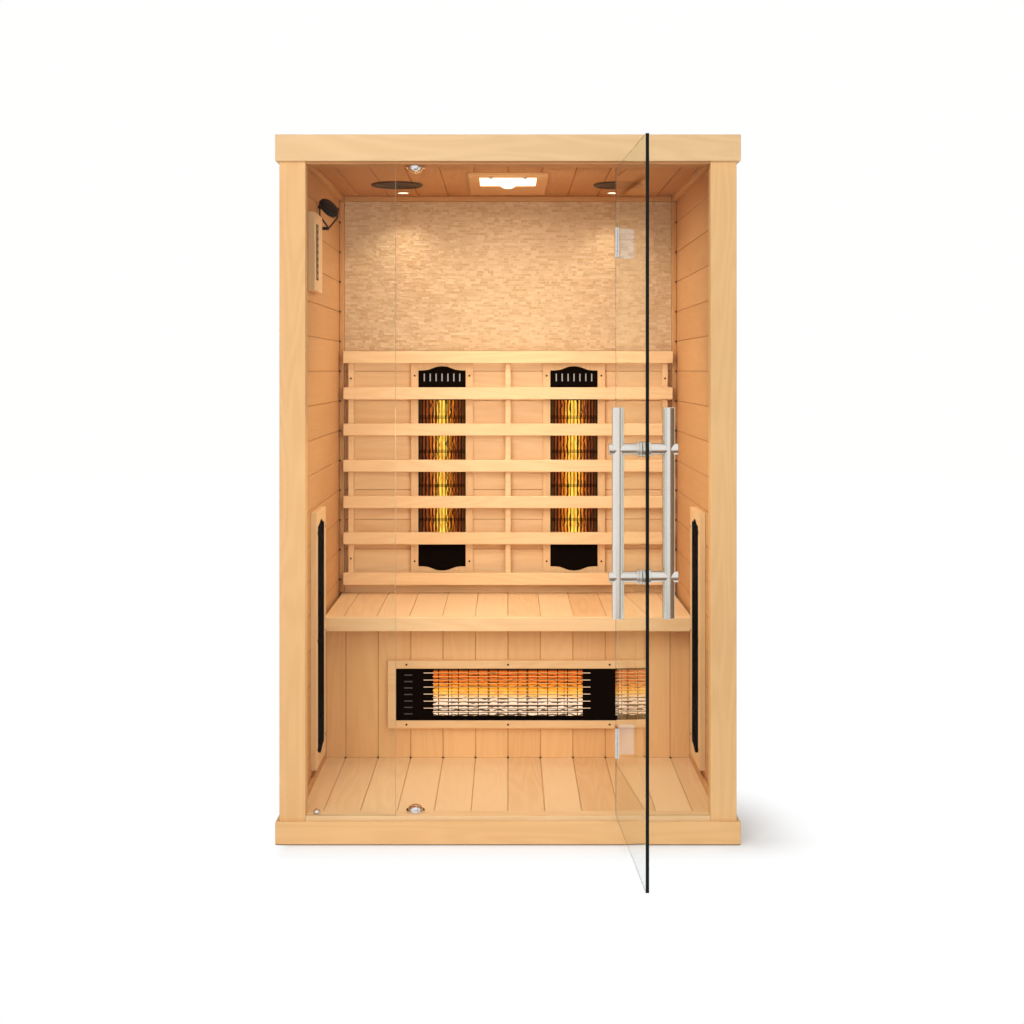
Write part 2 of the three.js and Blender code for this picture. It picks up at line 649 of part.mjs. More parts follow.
// Crown and base boards
const boardLevels = {
  base: [0, BASE_HEIGHT],
  crown: [CABIN_HEIGHT - CROWN_HEIGHT, CABIN_HEIGHT],
};
for (const [level, heights] of Object.entries(boardLevels)) {
  const outer = BODY_HALF + BOARD_THICKNESS;
  const front = block([-outer, outer], [FRONT, BODY_FRONT - SEAT_GAP], heights);
  addPiece(`${level}_front_board`, front, PALE_WOOD);
  for (const [name, side] of [['left', -1], ['right', 1]]) {
    const board = block([side * (BODY_HALF + SEAT_GAP), side * outer], [BODY_FRONT, BACK], heights);
    addPiece(`${level}_${name}_board`, board, PALE_WOOD);
  }
}

// Notch through a pane for the web of a hinge. The edge is the pane's edge beside the hinge,
// and the side says where the pane lies from it.
const LEAF_START = HINGE_BARREL_RADIUS + HINGE_LEAF_CLEARANCE;
const WEB_START = LEAF_START + HINGE_PLATE / 2;
const WEB_END = WEB_START + HINGE_WEB_WIDTH;

function hingeNotch(side, axisX, axisY, height) {
  const reach = WEB_END + SEAT_GAP;
  const half = HINGE_WEB_LENGTH / 2 + SEAT_GAP;
  const through = [axisY, axisY + HINGE_STANDOFF + GLASS_THICKNESS + HINGE_STANDOFF];
  return block([axisX, axisX + side * reach], through, [height - half, height + half]);
}
const hingeHeights = Object.values(HINGE_HEIGHTS);

// Fixed panes
function fixedPane(side) {
  return block(
    [side * DOORWAY_HALF, side * GLASS_OUTER],
    [GLASS_FRONT, GLASS_BACK],
    [GLASS_BOTTOM, GLASS_TOP],
  );
}
const hingedPaneNotches = hingeHeights.map((height) => hingeNotch(1, HINGE_X, HINGE_Y, height));
addPiece('left_fixed_glass', fixedPane(-1), GLASS);
addPiece('right_fixed_glass', carve([fixedPane(1)], hingedPaneNotches), GLASS);

// Door, drawn closed about its hinge axis and turned open as one group.
const door = new THREE.Group();
door.position.set(HINGE_X, HINGE_Y, 0);
door.rotation.z = THREE.MathUtils.degToRad(DOOR_OPEN_DEGREES);
sauna.add(door);

const doorNear = -DOOR_GAP;
const doorFar = -(DOORWAY_WIDTH - DOOR_GAP);
const doorFace = HINGE_STANDOFF;
const doorRear = HINGE_STANDOFF + GLASS_THICKNESS;
const doorMiddle = (doorFace + doorRear) / 2;
const doorHeights = [DOOR_BOTTOM, DOOR_TOP];
const handleX = doorFar + HANDLE_EDGE;
const standoffHeights = [
  HANDLE_HEIGHT - STANDOFF_SPACING / 2,
  HANDLE_HEIGHT + STANDOFF_SPACING / 2,
];

function doorGlass() {
  const pane = block([doorNear, doorFar], [doorFace, doorRear], doorHeights);
  const notches = hingeHeights.map((height) => hingeNotch(-1, 0, 0, height));
  const holes = standoffHeights.map((height) => bar(
    [handleX, doorFace - LAP, height],
    [handleX, doorRear + LAP, height],
    BOLT_HOLE_RADIUS,
    COARSE_FACETS,
  ));
  return carve([pane], [...notches, ...holes]);
}
addPiece('door_glass', doorGlass(), GLASS, door);

// A hinge leaf clamps its pane between two plates that a web joins through the notch.
// Side is 1 for the leaf on the fixed pane and -1 for the leaf on the door.
function leafPlates(side) {
  const plates = [side * LEAF_START, side * (LEAF_START + HINGE_LEAF_WIDTH)];
  const half = HINGE_LENGTH / 2;
  const faceY = doorFace - SEAT_GAP;
  const rearY = doorRear + SEAT_GAP;
  const webHalf = HINGE_WEB_LENGTH / 2;
  return [
    block(plates, [faceY - HINGE_PLATE, faceY], [-half, half]),
    block(plates, [rearY, rearY + HINGE_PLATE], [-half, half]),
    block([side * WEB_START, side * WEB_END], [faceY - LAP, rearY + LAP], [-webHalf, webHalf]),
  ];
}

// The strip that ties a plate to its knuckle.
function knuckleTie(side, heights) {
  const faceY = doorFace - SEAT_GAP;
  return block([0, side * (LEAF_START + LAP)], [faceY - HINGE_PLATE, faceY], heights);
}

function knuckle(low, high) {
  return bar([0, 0, low], [0, 0, high], HINGE_BARREL_RADIUS);
}

function fixedLeaf() {
  const half = HINGE_LENGTH / 2;
  const inner = HINGE_KNUCKLE / 2 + SEAT_GAP;
  const pin = bar([0, 0, -half], [0, 0, half], HINGE_PIN_RADIUS, COARSE_FACETS);
  return carve([
    ...leafPlates(1),
    knuckle(inner, half),
    knuckle(-half, -inner),
    knuckleTie(1, [inner, half]),
    knuckleTie(1, [-half, -inner]),
    pin,
  ]);
}

function doorLeaf() {
  const half = HINGE_KNUCKLE / 2;
  const bore = bar([0, 0, -half - LAP], [0, 0, half + LAP], HINGE_PIN_RADIUS + SEAT_GAP, COARSE_FACETS);
  return carve([...leafPlates(-1), knuckle(-half, half), knuckleTie(-1, [-half, half])], [bore]);
}

for (const [name, height] of Object.entries(HINGE_HEIGHTS)) {
  addPiece(`${name}_hinge_fixed_leaf`, fixedLeaf(), CHROME).position.set(HINGE_X, HINGE_Y, height);
  addPiece(`${name}_hinge_door_leaf`, doorLeaf(), CHROME, door).position.set(0, 0, height);
}

// A pull bar on stand-offs. Side is -1 outside the door and 1 inside. The outer bar carries
// the bolts that pass through the glass.
function handleBar(side) {
  const barY = doorMiddle + side * HANDLE_REACH;
  const seatY = doorMiddle + side * (GLASS_THICKNESS / 2 + SEAT_GAP);
  const endY = doorMiddle + side * STANDOFF_REACH;
  const half = HANDLE_LENGTH / 2;
  const pieces = [
    bar([handleX, barY, HANDLE_HEIGHT - half], [handleX, barY, HANDLE_HEIGHT + half], HANDLE_RADIUS),
  ];
  for (const height of standoffHeights) {
    const seat = [handleX, seatY, height];
    pieces.push(bar(seat, [handleX, endY, height], STANDOFF_RADIUS));
    pieces.push(bar(seat, [handleX, seatY + side * CLAMP_LENGTH, height], CLAMP_RADIUS));
    if (side < 0) {
      const boltEnd = [handleX, doorRear, height];
      pieces.push(bar([handleX, seatY - LAP, height], boltEnd, BOLT_RADIUS, COARSE_FACETS));
    }
  }
  return carve(pieces);
}
addPiece('outer_handle', handleBar(-1), BRUSHED_STEEL, door);
addPiece('inner_handle', handleBar(1), BRUSHED_STEEL, door);

// Door stops under the head rail and on the sill
const stopProfile = [[0, 0], [STOP_RADIUS, 0], ...domeProfile(STOP_RADIUS, STOP_RIM, STOP_HEIGHT)];
const stopY = GLASS_BACK + STOP_GAP + STOP_RADIUS;
const lowerStop = addPiece('lower_door_stop', carve([turned(stopProfile)]), CHROME);
lowerStop.position.set(STOP_X, stopY, FLOOR_TOP + SEAT_GAP);
const upperStop = addPiece('upper_door_stop', carve([turned(stopProfile)]), CHROME);
upperStop.position.set(STOP_X, stopY, HEAD_BOTTOM - SEAT_GAP);
upperStop.rotation.x = Math.PI;

// Bench
const seatBack = INNER_BACK - SEAT_GAP;
const seatBottom = SEAT_TOP - SEAT_THICKNESS;
const seat = plankPanel({
  u: X_AXIS,
  v: Z_AXIS,
  across: [-SEAT_HALF, SEAT_HALF],
  thick: [seatBottom, SEAT_TOP],
  along: [RAIL_FRONT + RAIL_THICKNESS + SEAT_GAP, seatBack],
  datum: 0,
  grooveHigh: true,
});
addPiece('bench_seat', seat, PALE_WOOD);

const frontRail = block(
  [-SEAT_HALF, SEAT_HALF],
  [RAIL_FRONT, RAIL_FRONT + RAIL_THICKNESS],
  [SEAT_TOP - RAIL_HEIGHT, SEAT_TOP],
);
addPiece('bench_front_rail', frontRail, PALE_WOOD);

function benchApron() {
  const half = INNER_HALF - SEAT_GAP;
  const panel = plankPanel({
    u: X_AXIS,
    v: Y_AXIS,
    across: [-half, half],
    thick: [APRON_FRONT, APRON_FRONT + APRON_THICKNESS],
    along: [FLOOR_TOP + SEAT_GAP, seatBottom - SEAT_GAP],
    datum: 0,
    grooveLow: true,
  });
  return carve([panel], [heaterPocket(heaterPlaces.bench)]);
}
addPiece('bench_apron', benchApron(), PALE_WOOD);

// Backrest: battens on the back wall with the top and bottom slat let into them,
// and the slats between, spaced down from the top one.
function slat(height, thickness) {
  const half = SLAT_LENGTH / 2;
  const heights = [height - SLAT_HEIGHT / 2, height + SLAT_HEIGHT / 2];
  return block([-half, half], [SLAT_FRONT, SLAT_FRONT + thickness], heights);
}

function backrestFrame() {
  const battenX = SLAT_LENGTH / 2 - BATTEN_INSET - BATTEN_WIDTH / 2;
  const battenBottom = BOTTOM_SLAT_HEIGHT - SLAT_HEIGHT / 2 + LAP;
  const battens = [-battenX, 0, battenX].map((x) => block(
    [x - BATTEN_WIDTH / 2, x + BATTEN_WIDTH / 2],
    [SLAT_BACK, INNER_BACK - SEAT_GAP],
    [battenBottom, STONE_BOTTOM - SEAT_GAP],
  ));
  const housed = SLAT_THICKNESS + SLAT_HOUSING;
  return carve([slat(TOP_SLAT_HEIGHT, housed), slat(BOTTOM_SLAT_HEIGHT, housed), ...battens]);
}
addPiece('backrest_frame', backrestFrame(), PALE_WOOD);
for (let i = 1; i < SLAT_COUNT - 1; i += 1) {
  const middleSlat = slat(TOP_SLAT_HEIGHT - i * SLAT_PITCH, SLAT_THICKNESS - SEAT_GAP);
  addPiece(`backrest_slat_${i + 1}`, middleSlat, PALE_WOOD);
}

const stonePanel = block(
  [-STONE_WIDTH / 2, STONE_WIDTH / 2],
  [INNER_BACK - SEAT_GAP - STONE_THICKNESS, INNER_BACK - SEAT_GAP],
  [STONE_BOTTOM, CEILING_HEIGHT - STONE_TOP_GAP],
);
addPiece('stone_panel', stonePanel, STONE);

// Ceiling light: a wooden frame round a lens with a hanging dome.
const fittingTop = CEILING_HEIGHT - SEAT_GAP;
const lightFront = FRONT + LIGHT_FRONT;
const lensFront = lightFront + LENS_INSET;
const lensBack = lensFront + LENS_LENGTH;
const lightFrame = carve(
  [block(
    [-LIGHT_WIDTH / 2, LIGHT_WIDTH / 2],
    [lightFront, lightFront + LIGHT_LENGTH],
    [fittingTop - LIGHT_FRAME_THICKNESS, fittingTop],
  )],
  [block(
    [-LENS_WIDTH / 2 - SEAT_GAP, LENS_WIDTH / 2 + SEAT_GAP],
    [lensFront - SEAT_GAP, lensBack + SEAT_GAP],
    [fittingTop - LIGHT_FRAME_THICKNESS - LAP, fittingTop + LAP],
  )],
);
addPiece('ceiling_light_frame', lightFrame, WARM_WOOD);

const lensBottom = fittingTop - LENS_THICKNESS;
const lensDome = turned([
  [0, -LAP],
  [LENS_DOME_RADIUS, -LAP],
  ...domeProfile(LENS_DOME_RADIUS, 0, LENS_DOME_HEIGHT),
]);
lensDome.rotateX(Math.PI).translate(0, (lensFront + lensBack) / 2, lensBottom);
const lens = carve([
  block([-LENS_WIDTH / 2, LENS_WIDTH / 2], [lensFront, lensBack], [lensBottom, fittingTop]),
  lensDome,
]);
addPiece('ceiling_light_lens', lens, WHITE_PLASTIC);

// Round fittings let into the ceiling: a flange below it and a body in its pocket.
function ceilingFitting(flangeRadius, flange, bodyRadius, bodyDepth) {
  return carve([turned([
    [0, -SEAT_GAP - flange],
    [flangeRadius - flange / 2, -SEAT_GAP - flange],
    [flangeRadius, -SEAT_GAP - flange / 2],
    [flangeRadius, -SEAT_GAP],
    [bodyRadius, -SEAT_GAP],
    [bodyRadius, bodyDepth],
    [0, bodyDepth],
  ])]);
}

for (const [name, side] of [['left', -1], ['right', 1]]) {
  const speaker = ceilingFitting(SPEAKER_RADIUS, SPEAKER_FLANGE, SPEAKER_BODY_RADIUS, SPEAKER_BODY_DEPTH);
  const speakerMesh = addPiece(`${name}_speaker`, speaker, BLACK_PLASTIC);
  speakerMesh.position.set(side * SPEAKER_X, FRONT + SPEAKER_DEPTH, CEILING_HEIGHT);
  const downlight = ceilingFitting(
    DOWNLIGHT_RADIUS,
    DOWNLIGHT_FLANGE,
    DOWNLIGHT_BODY_RADIUS,
    DOWNLIGHT_BODY_DEPTH,
  );
  const downlightMesh = addPiece(`${name}_downlight`, downlight, WHITE_PLASTIC);
  downlightMesh.position.set(side * DOWNLIGHT_X, FRONT + DOWNLIGHT_DEPTH, CEILING_HEIGHT);
}

// Control panel with a recess for its keypad
const wallFace = -INNER_HALF + SEAT_GAP;
const panelFace = wallFace + PANEL_THICKNESS;
const panelFront = FRONT + PANEL_FRONT;
const keypadFront = panelFront + KEYPAD_INSET;
const panelTop = CEILING_HEIGHT - PANEL_DROP;
const panelBottom = panelTop - PANEL_HEIGHT;
const keypadBottom = panelBottom + (PANEL_HEIGHT - KEYPAD_HEIGHT) / 2;
const controlPanel = carve(
  [block(
    [wallFace, panelFace],
    [panelFront, panelFront + PANEL_WIDTH],
    [panelBottom, panelTop],
  )],
  [block(
    [panelFace - KEYPAD_RECESS, panelFace + LAP],
    [keypadFront, keypadFront + KEYPAD_WIDTH],
    [keypadBottom, keypadBottom + KEYPAD_HEIGHT],
  )],
);
addPiece('control_panel', controlPanel, PALE_WOOD);

// Reading lamp: the head turns on a pin between the eyes of a yoke on the wall.
const lampYaw = THREE.MathUtils.degToRad(LAMP_YAW_DEGREES);
const lampTilt = THREE.MathUtils.degToRad(LAMP_TILT_DEGREES);
const lamp = new THREE.Group();
lamp.position.set(-INNER_HALF + LAMP_WALL_DISTANCE, FRONT + LAMP_DEPTH, CEILING_HEIGHT - LAMP_DROP);
sauna.add(lamp);
const eyeInner = LAMP_RADIUS + LAMP_SIDE_GAP;
const eyeOuter = eyeInner + YOKE_EYE_LENGTH;
const eyeMiddle = (eyeInner + eyeOuter) / 2;

function lampBracket() {
  const foot = [0, 0, -YOKE_DROP];
  const arms = [];
  const bores = [];
  for (const side of [-1, 1]) {
    const knee = [0, side * eyeMiddle, -YOKE_KNEE];
    arms.push(bar([0, side * eyeInner, 0], [0, side * eyeOuter, 0], YOKE_EYE_RADIUS, COARSE_FACETS));
    const neck = [0, side * eyeMiddle, -(YOKE_EYE_RADIUS + YOKE_PIN_RADIUS) / 2];
    arms.push(bar(neck, knee, YOKE_RADIUS, COARSE_FACETS));
    arms.push(bar(knee, foot, YOKE_RADIUS, COARSE_FACETS));
    arms.push(new THREE.SphereGeometry(YOKE_RADIUS, COARSE_FACETS, ARC_STEPS).translate(...knee));
    const boreEnds = [eyeInner - LAP, eyeOuter + LAP].map((y) => [0, side * y, 0]);
    bores.push(bar(...boreEnds, YOKE_PIN_RADIUS + SEAT_GAP, COARSE_FACETS));
  }
  const turnedArms = carve(arms, bores).rotateZ(lampYaw);
  const wallX = -LAMP_WALL_DISTANCE + SEAT_GAP;
  const roseFace = wallX + WALL_ROSE_THICKNESS;
  return carve([
    turnedArms,
    bar(foot, [wallX + LAP, 0, -YOKE_DROP], 2 * YOKE_RADIUS, COARSE_FACETS),
    bar([wallX, 0, -YOKE_DROP], [roseFace, 0, -YOKE_DROP], WALL_ROSE_RADIUS),
  ]);
}

// The head's axis is Z before it is tilted; the pin lies along Y.
function lampHead() {
  const body = turned([
    [0, -LAMP_BEZEL / 2],
    [LAMP_RADIUS, -LAMP_BEZEL / 2],
    ...domeProfile(LAMP_RADIUS, LAMP_BEZEL / 2, LAMP_BEZEL / 2 + LAMP_DOME),
  ]);
  const pin = bar([0, -eyeOuter, 0], [0, eyeOuter, 0], YOKE_PIN_RADIUS, COARSE_FACETS);
  return carve([body, pin]);
}
addPiece('reading_lamp_bracket', lampBracket(), BLACK_PLASTIC, lamp);
const lampTurn = new THREE.Group();
lampTurn.rotation.z = lampYaw;
lamp.add(lampTurn);
const lampHeadMesh = addPiece('reading_lamp_head', lampHead(), BLACK_PLASTIC, lampTurn);
lampHeadMesh.rotation.y = Math.PI / 2 - lampTilt;

// Power unit on the back wall behind the apron, and its inlet
const powerUnit = block(
  [POWER_X - POWER_WIDTH / 2, POWER_X + POWER_WIDTH / 2],
  [INNER_BACK - SEAT_GAP - POWER_DEPTH, INNER_BACK - SEAT_GAP],
  [POWER_BOTTOM, POWER_BOTTOM + POWER_HEIGHT],
);
addPiece('power_unit', powerUnit, ALUMINIUM);

const flangeBottom = BACK - INLET_RECESS + SEAT_GAP;
const inlet = carve([
  bar([POWER_X, INNER_BACK, inletHeight], [POWER_X, flangeBottom + LAP, inletHeight], INLET_RADIUS),
  bar(
    [POWER_X, flangeBottom, inletHeight],
    [POWER_X, flangeBottom + INLET_FLANGE, inletHeight],
    INLET_FLANGE_RADIUS,
  ),
]);
addPiece('power_inlet', inlet, BLACK_PLASTIC);

export default sauna;
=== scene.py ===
"""Looks of an infrared sauna cabin: planed softwood, clear glass, chrome, glowing heaters and split stone."""

import json
import math
import random

import bmesh
import bpy
from mathutils import Matrix, Vector


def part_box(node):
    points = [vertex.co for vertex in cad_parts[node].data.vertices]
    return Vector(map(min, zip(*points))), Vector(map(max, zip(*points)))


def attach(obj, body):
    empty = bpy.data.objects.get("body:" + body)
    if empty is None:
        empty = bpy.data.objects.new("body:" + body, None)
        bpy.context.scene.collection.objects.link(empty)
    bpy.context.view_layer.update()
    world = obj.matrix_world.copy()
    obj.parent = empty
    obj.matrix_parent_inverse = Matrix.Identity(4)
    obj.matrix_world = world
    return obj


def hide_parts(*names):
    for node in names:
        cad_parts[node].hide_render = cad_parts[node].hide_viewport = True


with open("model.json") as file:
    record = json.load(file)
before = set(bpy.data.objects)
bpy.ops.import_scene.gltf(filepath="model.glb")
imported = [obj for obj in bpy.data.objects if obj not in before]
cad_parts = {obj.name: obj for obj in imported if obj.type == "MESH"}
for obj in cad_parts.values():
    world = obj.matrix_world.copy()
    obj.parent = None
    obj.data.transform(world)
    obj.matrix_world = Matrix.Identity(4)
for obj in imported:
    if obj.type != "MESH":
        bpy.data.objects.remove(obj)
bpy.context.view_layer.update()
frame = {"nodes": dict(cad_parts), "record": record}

bl_info = {
    "name": "Infrared Sauna Cabin",
    "version": (1, 0, 0),
    "blender": (4, 5, 0),
    "location": "View3D > Sidebar > Sauna",
    "description": "Dresses the frame of an infrared sauna cabin piece by piece",
    "category": "Object",
}

MM = 0.001
HEATERS = ("back_left", "back_right", "left_side", "right_side", "bench")
SIDES = (("left", -1), ("right", 1))
HINGE_LEVELS = ("upper", "lower")
HINGE_LEAVES = (("fixed", "cabin"), ("door", "door"))

# Nodes whose flat faces have windows, pockets or notches
WINDOWED = (
    "floor_panel", "roof_panel", "left_wall", "right_wall", "back_wall", "bench_apron", "control_panel",
    "ceiling_light_frame",
    *(f"{name}_heater_{part}" for name in HEATERS for part in ("frame", "case")),
    *(f"{level}_hinge_{leaf}_leaf" for level in HINGE_LEVELS for leaf, _ in HINGE_LEAVES),
)

# Room between a fitting and the face that it sits on
CLEARANCE = 0.3 * MM
# Height of one joint between wall planks
PLANK_DATUM = 67 * MM
# Plank pitch that leaves a board without joints, because it is wider than any board
WHOLE_BOARD = 10.0
# Back edges of the plain boards along the front of the floor and of the ceiling
SILL_BACK = -489 * MM
HEAD_RAIL_BACK = -468 * MM


def span(node):
    """Lowest and highest corner of a node as vectors."""
    low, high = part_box(node)
    return Vector(low), Vector(high)


def joint_named(name):
    """The record's entry for a joint."""
    return next(joint for joint in frame["record"]["behaviour"]["joints"] if joint["name"] == name)


# Planes of the cabin that thin trim follows
WALL_LOW, WALL_HIGH = span("left_wall")
INNER_X = -WALL_HIGH.x
INNER_BACK = span("back_wall")[0].y
FLOOR_TOP = span("floor_panel")[1].z
CEILING = span("ceiling_light_frame")[1].z
SEAT_TOP = span("bench_seat")[1].z
APRON_FRONT = span("bench_apron")[0].y


# Settings

class SaunaSizes(bpy.types.PropertyGroup):
    """Sizes of the details that the frame leaves open."""

    edge_round: bpy.props.FloatProperty(
        name="Edge rounding", description="Rounding on the edges of planed boards",
        default=1.6 * MM, min=0.0, unit="LENGTH")
    glass_round: bpy.props.FloatProperty(
        name="Glass arris", description="Ground edge of the glass panes",
        default=0.7 * MM, min=0.0, unit="LENGTH")
    metal_round: bpy.props.FloatProperty(
        name="Metal rounding", description="Rounding on the edges of chrome and steel",
        default=1.0 * MM, min=0.0, unit="LENGTH")
    plank_pitch: bpy.props.FloatProperty(
        name="Plank pitch", description="Distance between plank joints",
        default=100 * MM, min=0.01, unit="LENGTH")
    moulding: bpy.props.FloatProperty(
        name="Corner moulding", description="Leg of the corner mouldings",
        default=17 * MM, min=0.0, unit="LENGTH")
    skirting: bpy.props.FloatProperty(
        name="Skirting height", description="Height of the strip at the foot of the side walls",
        default=22 * MM, min=0.0, unit="LENGTH")
    screw_radius: bpy.props.FloatProperty(
        name="Screw head radius", description="Radius of the screw heads",
        default=3.4 * MM, min=0.0, unit="LENGTH")
    chip_height: bpy.props.FloatProperty(
        name="Stone row height", description="Height of one row of stone chips",
        default=8.6 * MM, min=0.002, unit="LENGTH")
    chip_width: bpy.props.FloatProperty(
        name="Stone chip width", description="Mean width of one stone chip",
        default=17 * MM, min=0.004, unit="LENGTH")
    guard_wire: bpy.props.FloatProperty(
        name="Guard wire", description="Thickness of the black wires of the heater guards",
        default=3.0 * MM, min=0.0005, unit="LENGTH")


class SaunaColours(bpy.types.PropertyGroup):
    """Colours of the finishes."""

    pale_wood: bpy.props.FloatVectorProperty(
        name="Pale wood", description="Light tone of the crown and heater frames",
        default=(0.87, 0.595, 0.32), size=3, min=0.0, max=1.0, subtype="COLOR")
    pale_grain: bpy.props.FloatVectorProperty(
        name="Pale grain", description="Grain tone of the crown and heater frames",
        default=(0.68, 0.42, 0.19), size=3, min=0.0, max=1.0, subtype="COLOR")
    toasted_wood: bpy.props.FloatVectorProperty(
        name="Toasted wood", description="Light tone of the posts and base boards",
        default=(0.87, 0.54, 0.25), size=3, min=0.0, max=1.0, subtype="COLOR")
    toasted_grain: bpy.props.FloatVectorProperty(
        name="Toasted grain", description="Grain tone of the posts and base boards",
        default=(0.71, 0.385, 0.15), size=3, min=0.0, max=1.0, subtype="COLOR")
    dusky_wood: bpy.props.FloatVectorProperty(
        name="Dusky wood", description="Light tone of the ceiling planks",
        default=(0.54, 0.26, 0.10), size=3, min=0.0, max=1.0, subtype="COLOR")
    dusky_grain: bpy.props.FloatVectorProperty(
        name="Dusky grain", description="Grain tone of the ceiling planks",
        default=(0.42, 0.18, 0.06), size=3, min=0.0, max=1.0, subtype="COLOR")
    honey_wood: bpy.props.FloatVectorProperty(
        name="Honey wood", description="Light tone of the bench, backrest and floor",
        default=(0.89, 0.64, 0.365), size=3, min=0.0, max=1.0, subtype="COLOR")
    honey_grain: bpy.props.FloatVectorProperty(
        name="Honey grain", description="Grain tone of the bench, backrest and floor",
        default=(0.72, 0.43, 0.19), size=3, min=0.0, max=1.0, subtype="COLOR")
    warm_wood: bpy.props.FloatVectorProperty(
        name="Warm wood", description="Light tone of the wall planks",
        default=(0.64, 0.35, 0.145), size=3, min=0.0, max=1.0, subtype="COLOR")
    warm_grain: bpy.props.FloatVectorProperty(
        name="Warm grain", description="Grain tone of the wall planks",
        default=(0.52, 0.25, 0.09), size=3, min=0.0, max=1.0, subtype="COLOR")
    stone: bpy.props.FloatVectorProperty(
        name="Stone", description="Light tone of the stone chips",
        default=(0.83, 0.64, 0.41), size=3, min=0.0, max=1.0, subtype="COLOR")
    stone_shade: bpy.props.FloatVectorProperty(
        name="Stone shade", description="Dark tone of the stone chips",
        default=(0.58, 0.37, 0.18), size=3, min=0.0, max=1.0, subtype="COLOR")
    glass_tint: bpy.props.FloatVectorProperty(
        name="Glass tint", description="Tint of the clear panes",
        default=(0.97, 0.99, 0.98), size=3, min=0.0, max=1.0, subtype="COLOR")
    # Painted shade: the door tint is darker than the pane tint, for the dimming of glass seen nearly edge on.
    door_tint: bpy.props.FloatVectorProperty(
        name="Door tint", description="Tint of the door glass, which is seen nearly edge on",
        default=(0.82, 0.85, 0.81), size=3, min=0.0, max=1.0, subtype="COLOR")
    glass_edge: bpy.props.FloatVectorProperty(
        name="Glass edge", description="Dark green of the ground glass edges",
        default=(0.006, 0.011, 0.010), size=3, min=0.0, max=1.0, subtype="COLOR")
    pale_edge: bpy.props.FloatVectorProperty(
        name="Pale glass edge", description="Light seen in the edges of the fixed panes",
        default=(0.50, 0.39, 0.25), size=3, min=0.0, max=1.0, subtype="COLOR")
    bright_edge: bpy.props.FloatVectorProperty(
        name="Bright glass edge", description="Light seen in the edges of the pane that the door hangs on",
        default=(0.95, 0.92, 0.88), size=3, min=0.0, max=1.0, subtype="COLOR")
    glow: bpy.props.FloatVectorProperty(
        name="Heater glow", description="Brightest colour of the heaters",
        default=(1.0, 0.68, 0.07), size=3, min=0.0, max=1.0, subtype="COLOR")
    glow_edge: bpy.props.FloatVectorProperty(
        name="Heater glow edge", description="Colour of the heaters away from the tube",
        default=(0.80, 0.20, 0.010), size=3, min=0.0, max=1.0, subtype="COLOR")
    lamp: bpy.props.FloatVectorProperty(
        name="Lamp light", description="Colour of the ceiling light and downlights",
        default=(1.0, 0.86, 0.62), size=3, min=0.0, max=1.0, subtype="COLOR")


def sizes():
    """The sizes that are set in the scene."""
    return bpy.context.scene.sauna_sizes


def colours():
    """The colours that are set in the scene."""
    return bpy.context.scene.sauna_colours


# Shader node groups

def new_group(name, inputs, outputs):
    """An empty shader node group with named sockets: (name, kind, default) for each input."""
    tree = bpy.data.node_groups.new(name, "ShaderNodeTree")
    for label, kind, default in inputs:
        socket = tree.interface.new_socket(label, in_out="INPUT", socket_type=kind)
        if default is not None:
            socket.default_value = default
    for label, kind in outputs:
        tree.interface.new_socket(label, in_out="OUTPUT", socket_type=kind)
    source = tree.nodes.new("NodeGroupInput")
    sink = tree.nodes.new("NodeGroupOutput")
    return tree, source.outputs, sink.inputs


def put(tree, kind, links=None, **settings):
    """Adds a node, sets its properties and links or sets its inputs by name or number."""
    node = tree.nodes.new(kind)
    for key, value in settings.items():
        setattr(node, key, value)
    for key, value in (links or {}).items():
        if isinstance(value, bpy.types.NodeSocket):
            tree.links.new(value, node.inputs[key])
        else:
            node.inputs[key].default_value = value
    return node


def maths(tree, operation, first, second=None, third=None):
    """Output of one new math node."""
    links = {i: v for i, v in enumerate((first, second, third)) if v is not None}
    return put(tree, "ShaderNodeMath", links, operation=operation).outputs[0]


def mixed(tree, factor, first, second, blend="MIX"):
    """Colour output of one new mix node."""
    node = put(tree, "ShaderNodeMix", data_type="RGBA", blend_type=blend)
    for index, value in ((0, factor), (6, first), (7, second)):
        if isinstance(value, bpy.types.NodeSocket):
            tree.links.new(value, node.inputs[index])
        else:
            node.inputs[index].default_value = value
    return node.outputs[2]


